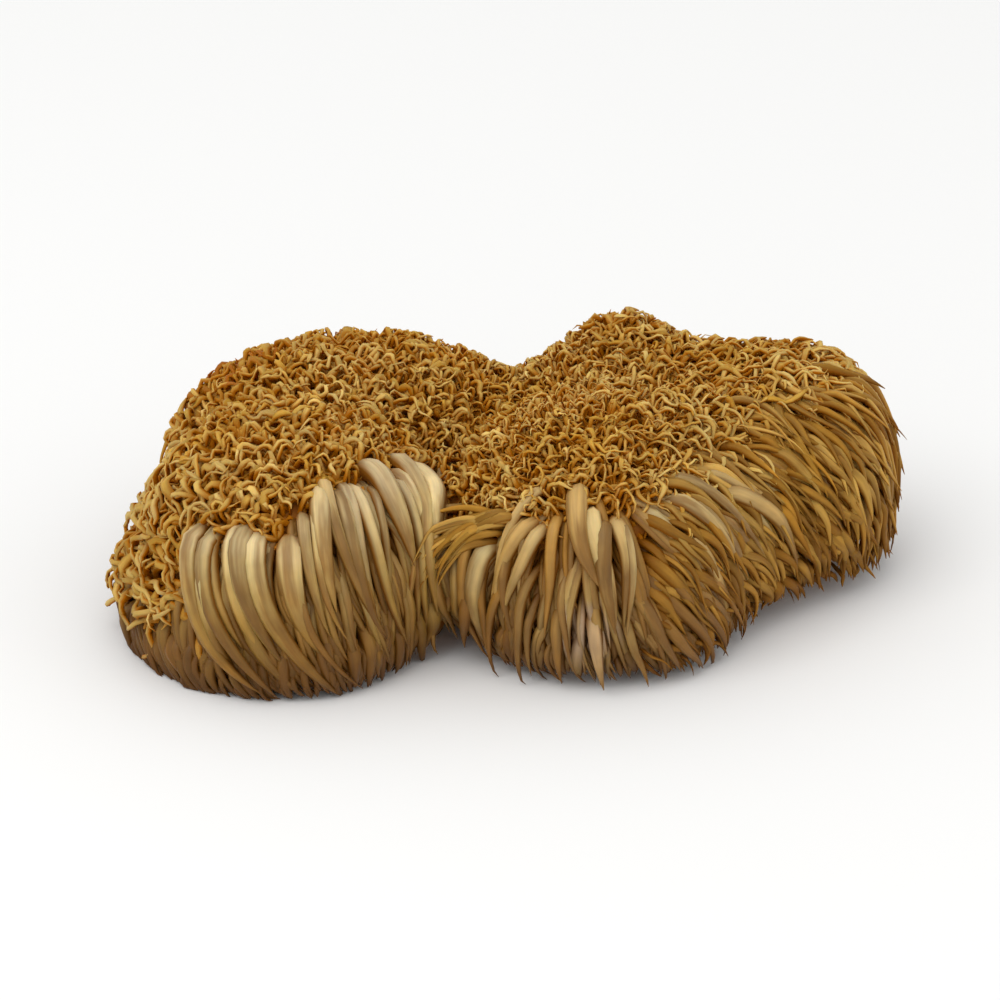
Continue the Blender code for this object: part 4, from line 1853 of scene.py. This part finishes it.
def right_manes() -> list[Mane]:
    """The right lobe's mane in front, with the hollow in its middle and its longest tips."""
    return [
        KnuckleRow(
            "right_knuckles", 23, LOBE_FINISH, gap=1.35 * MM, width=2.1 * MM, start=11, stop=18,
            part=(0.1, 0.95), layers=1.3, warm=0.45, pale=0.52, uneven=0.5, stagger=1.6 * MM,
            lift=0.4, waves=1.3, stray=0.16, splay=0.6, **KNUCKLES, **HOLLOW,
        ),
        KnuckleRow(
            "right_backing", 33, LOBE_FINISH, gap=1.8 * MM, width=1.8 * MM, start=10, stop=19,
            warm=0.65, pale=0.36, stray=0.2, **BACKING, **HOLLOW,
        ),
        Mane(
            "right_mane", 24, LOBE_FINISH, gap=2.4 * MM, width=2.0 * MM, each=2, stray=0.2,
            where=(-7.0, 31.0, -45.0, -8.0), warm=0.6, pale=0.45, vary=0.18, splay=0.7, flatness=0.9,
            blush=1.2, **LOBE_BLUSH, **SIDE, **COMBED,
        ),
        Mane(
            "right_hem", 44, LOBE_FINISH, gap=2.2 * MM, width=1.7 * MM,
            where=(-7.0, 33.0, -45.0, -4.0), blush=0.9, **LOBE_BLUSH, **(HEM | {"blunt": 0.2}), **COMBED,
        ),
        Mane(
            "right_teeth", 49, LOBE_FINISH, gap=3.6 * MM, width=1.9 * MM, each=1, stray=0.15,
            where=(-6.0, 26.0, -45.0, -18.0), lowest=12 * MM, highest=20 * MM, warm=0.6, pale=0.45,
            lift=0.2, tip_lift=0.8, splay=1.5, waves=1.3, clumping=0.0, shading=0.6, blush=0.5,
            **LOBE_BLUSH, **COMBED,
        ),
    ]


def other_manes() -> list[Mane]:
    """The mane of the flank, the left side and the back, and the tuft in the valley between the lobes."""
    return [
        Mane(
            "right_flank", 25, FLANK_FINISH, gap=1.5 * MM, width=1.45 * MM, each=1, vary=0.27,
            where=(18.0, 60.0, -45.0, 24.0), longest=15 * MM, warm=0.5, pale=0.52, inset=0.5 * MM,
            fade_places=(16.0, 28.0, 42.0), fades=(2.0, 8.0, 14.0), blunt=0.1,
            heading=(0.8, -0.4, 0.0), root_depth=-2.6, bend_at=0.25, lift=0.3, tip_lift=0.6, splay=1.1,
            clump=4 * MM, lowest=4 * MM, layers=1.7, waves=1.6, uneven=0.5, stray=0.22,
            shading=0.7, points=16, sides=6, **COMBED,
        ),
        Mane(
            "left_side", 26, FLANK_FINISH, gap=1.45 * MM, width=1.4 * MM, each=1, blunt=0.1,
            where=(-61.0, -30.0, -12.0, 45.0), longest=14 * MM, warm=0.5, pale=0.55, vary=0.25,
            lowest=4 * MM, points=11, sides=6, colour_from=22 * MM,
            **(SIDE | {"clumping": 0.4, "waves": 1.3}), **COMBED,
        ),
        KnuckleRow(
            "web", 37, FLANK_FINISH, gap=0.2 * MM, width=1.25 * MM, each=1, start=11, stop=13,
            part=(0.35, 0.80), head_leans=(-1.9,), foot_leans=(-0.4,), tips=(5.0,), stray=0.7,
            warm=0.6, pale=0.35, root_depth=-1.0, bend_at=0.10, lift=1.7, tip_lift=0.6, layers=1.0,
            waves=1.0, clumping=0.0, stagger=0.5 * MM, longest=15 * MM, flatness=0.7, shading=0.6,
        ),
        Mane(
            "back_mane", 27, FLANK_FINISH, gap=1.95 * MM, width=1.7 * MM, each=2,
            where=(-31.0, 60.0, 20.0, 45.0), longest=24 * MM, warm=0.5, vary=0.25,
            **(SIDE | {"uneven": 0.5, "waves": 1.2}), **COMBED,
        ),
        Mane(
            "back_hem", 47, FLANK_FINISH, gap=2.2 * MM, width=1.7 * MM,
            where=(-61.0, 60.0, 18.0, 45.0), **HEM, **COMBED,
        ),
    ]


# ---- The studio ----


@dataclass(frozen=True)
class Lamp:
    """A square soft light that faces the mushroom."""

    name: str
    azimuth: float          # from the front, to the right, in degrees
    elevation: float
    away: float
    size: float
    power: float            # in watts

    def build(self) -> None:
        """The light, set up on its bearing."""
        data = bpy.data.lights.new(self.name, "AREA")
        data.size = self.size
        data.energy = self.power
        made = bpy.data.objects.new(self.name, data)
        a, e = math.radians(self.azimuth), math.radians(self.elevation)
        way = Vector((math.sin(a) * math.cos(e), -math.cos(a) * math.cos(e), math.sin(e)))
        made.location = way * self.away
        made.rotation_euler = way.to_track_quat("Z", "Y").to_euler()
        bpy.context.scene.collection.objects.link(made)


@dataclass(frozen=True)
class Studio:
    """A plain pale floor, soft light and the camera."""

    lens: float = 200.0
    sensor: float = 36.0
    elevation: float = 25.0
    aim: Triple = (-0.0015, -0.0018, 0.0155)
    distance: float = 0.795
    nearest: float = 0.01
    floor_size: float = 4.0
    floor_colour: tuple[float, float, float, float] = (0.88, 0.88, 0.87, 1.0)
    floor_roughness: float = 0.9
    surrounding: float = 0.88           # how bright the white all round is
    key: Lamp = Lamp("key", -42.0, 54.0, 1.0, 0.75, 3.4)
    fill: Lamp = Lamp("fill", 55.0, 35.0, 1.2, 0.9, 0.8)

    def floor(self) -> None:
        """The floor: one wide square just under the mushroom, left out of its body."""
        half = self.floor_size / 2
        corners = np.array([[-half, -half, 0], [half, -half, 0], [half, half, 0], [-half, half, 0]])
        made = put_mesh("floor", corners - [0, 0, FLOOR_GAP], np.arange(4), np.array([4]))
        net = Net("floor")
        inputs = {"Base Color": self.floor_colour, "Roughness": self.floor_roughness}
        net.show(net.add("ShaderNodeBsdfPrincipled", inputs))
        made.data.materials.append(net.material)

    def lights(self) -> None:
        """A broad key light from above and the left, a fill from the right, and a pale surrounding."""
        self.key.build()
        self.fill.build()
        world = bpy.data.worlds.new("studio")
        world.use_nodes = True
        background = world.node_tree.nodes["Background"]
        background.inputs["Color"].default_value = (1.0, 1.0, 1.0, 1.0)
        background.inputs["Strength"].default_value = self.surrounding
        bpy.context.scene.world = world
        bpy.context.scene.view_settings.view_transform = "Standard"

    def camera(self) -> None:
        """A long lens, a little above the mushroom, in front of it."""
        data = bpy.data.cameras.new("camera")
        data.lens = self.lens
        data.sensor_width = self.sensor
        data.clip_start = self.nearest
        made = bpy.data.objects.new("camera", data)
        e = math.radians(self.elevation)
        back = Vector((0.0, -math.cos(e), math.sin(e)))
        made.location = Vector(self.aim) + back * self.distance
        made.rotation_euler = back.to_track_quat("Z", "Y").to_euler()
        bpy.context.scene.collection.objects.link(made)
        bpy.context.scene.camera = made


def main() -> None:
    """Builds the mushroom and the studio round it."""
    logging.basicConfig(level=logging.INFO, format="%(message)s")
    studio = Studio()
    studio.camera()
    studio.lights()
    studio.floor()
    Flesh().build()
    curls = CURL_FINISH.make()
    TopCurls(
        "under_curls", 11, crowding=0.75, highest=-0.9, lowest=-2.0, bright=0.35, points=6,
        overhang=-1.6 * MM, front_floor=14 * MM,
    ).build(curls)
    TopCurls("top_curls", 13).build(curls)
    for mane in left_manes() + right_manes() + other_manes():
        mane.build()


if __name__ == "__main__":
    main()
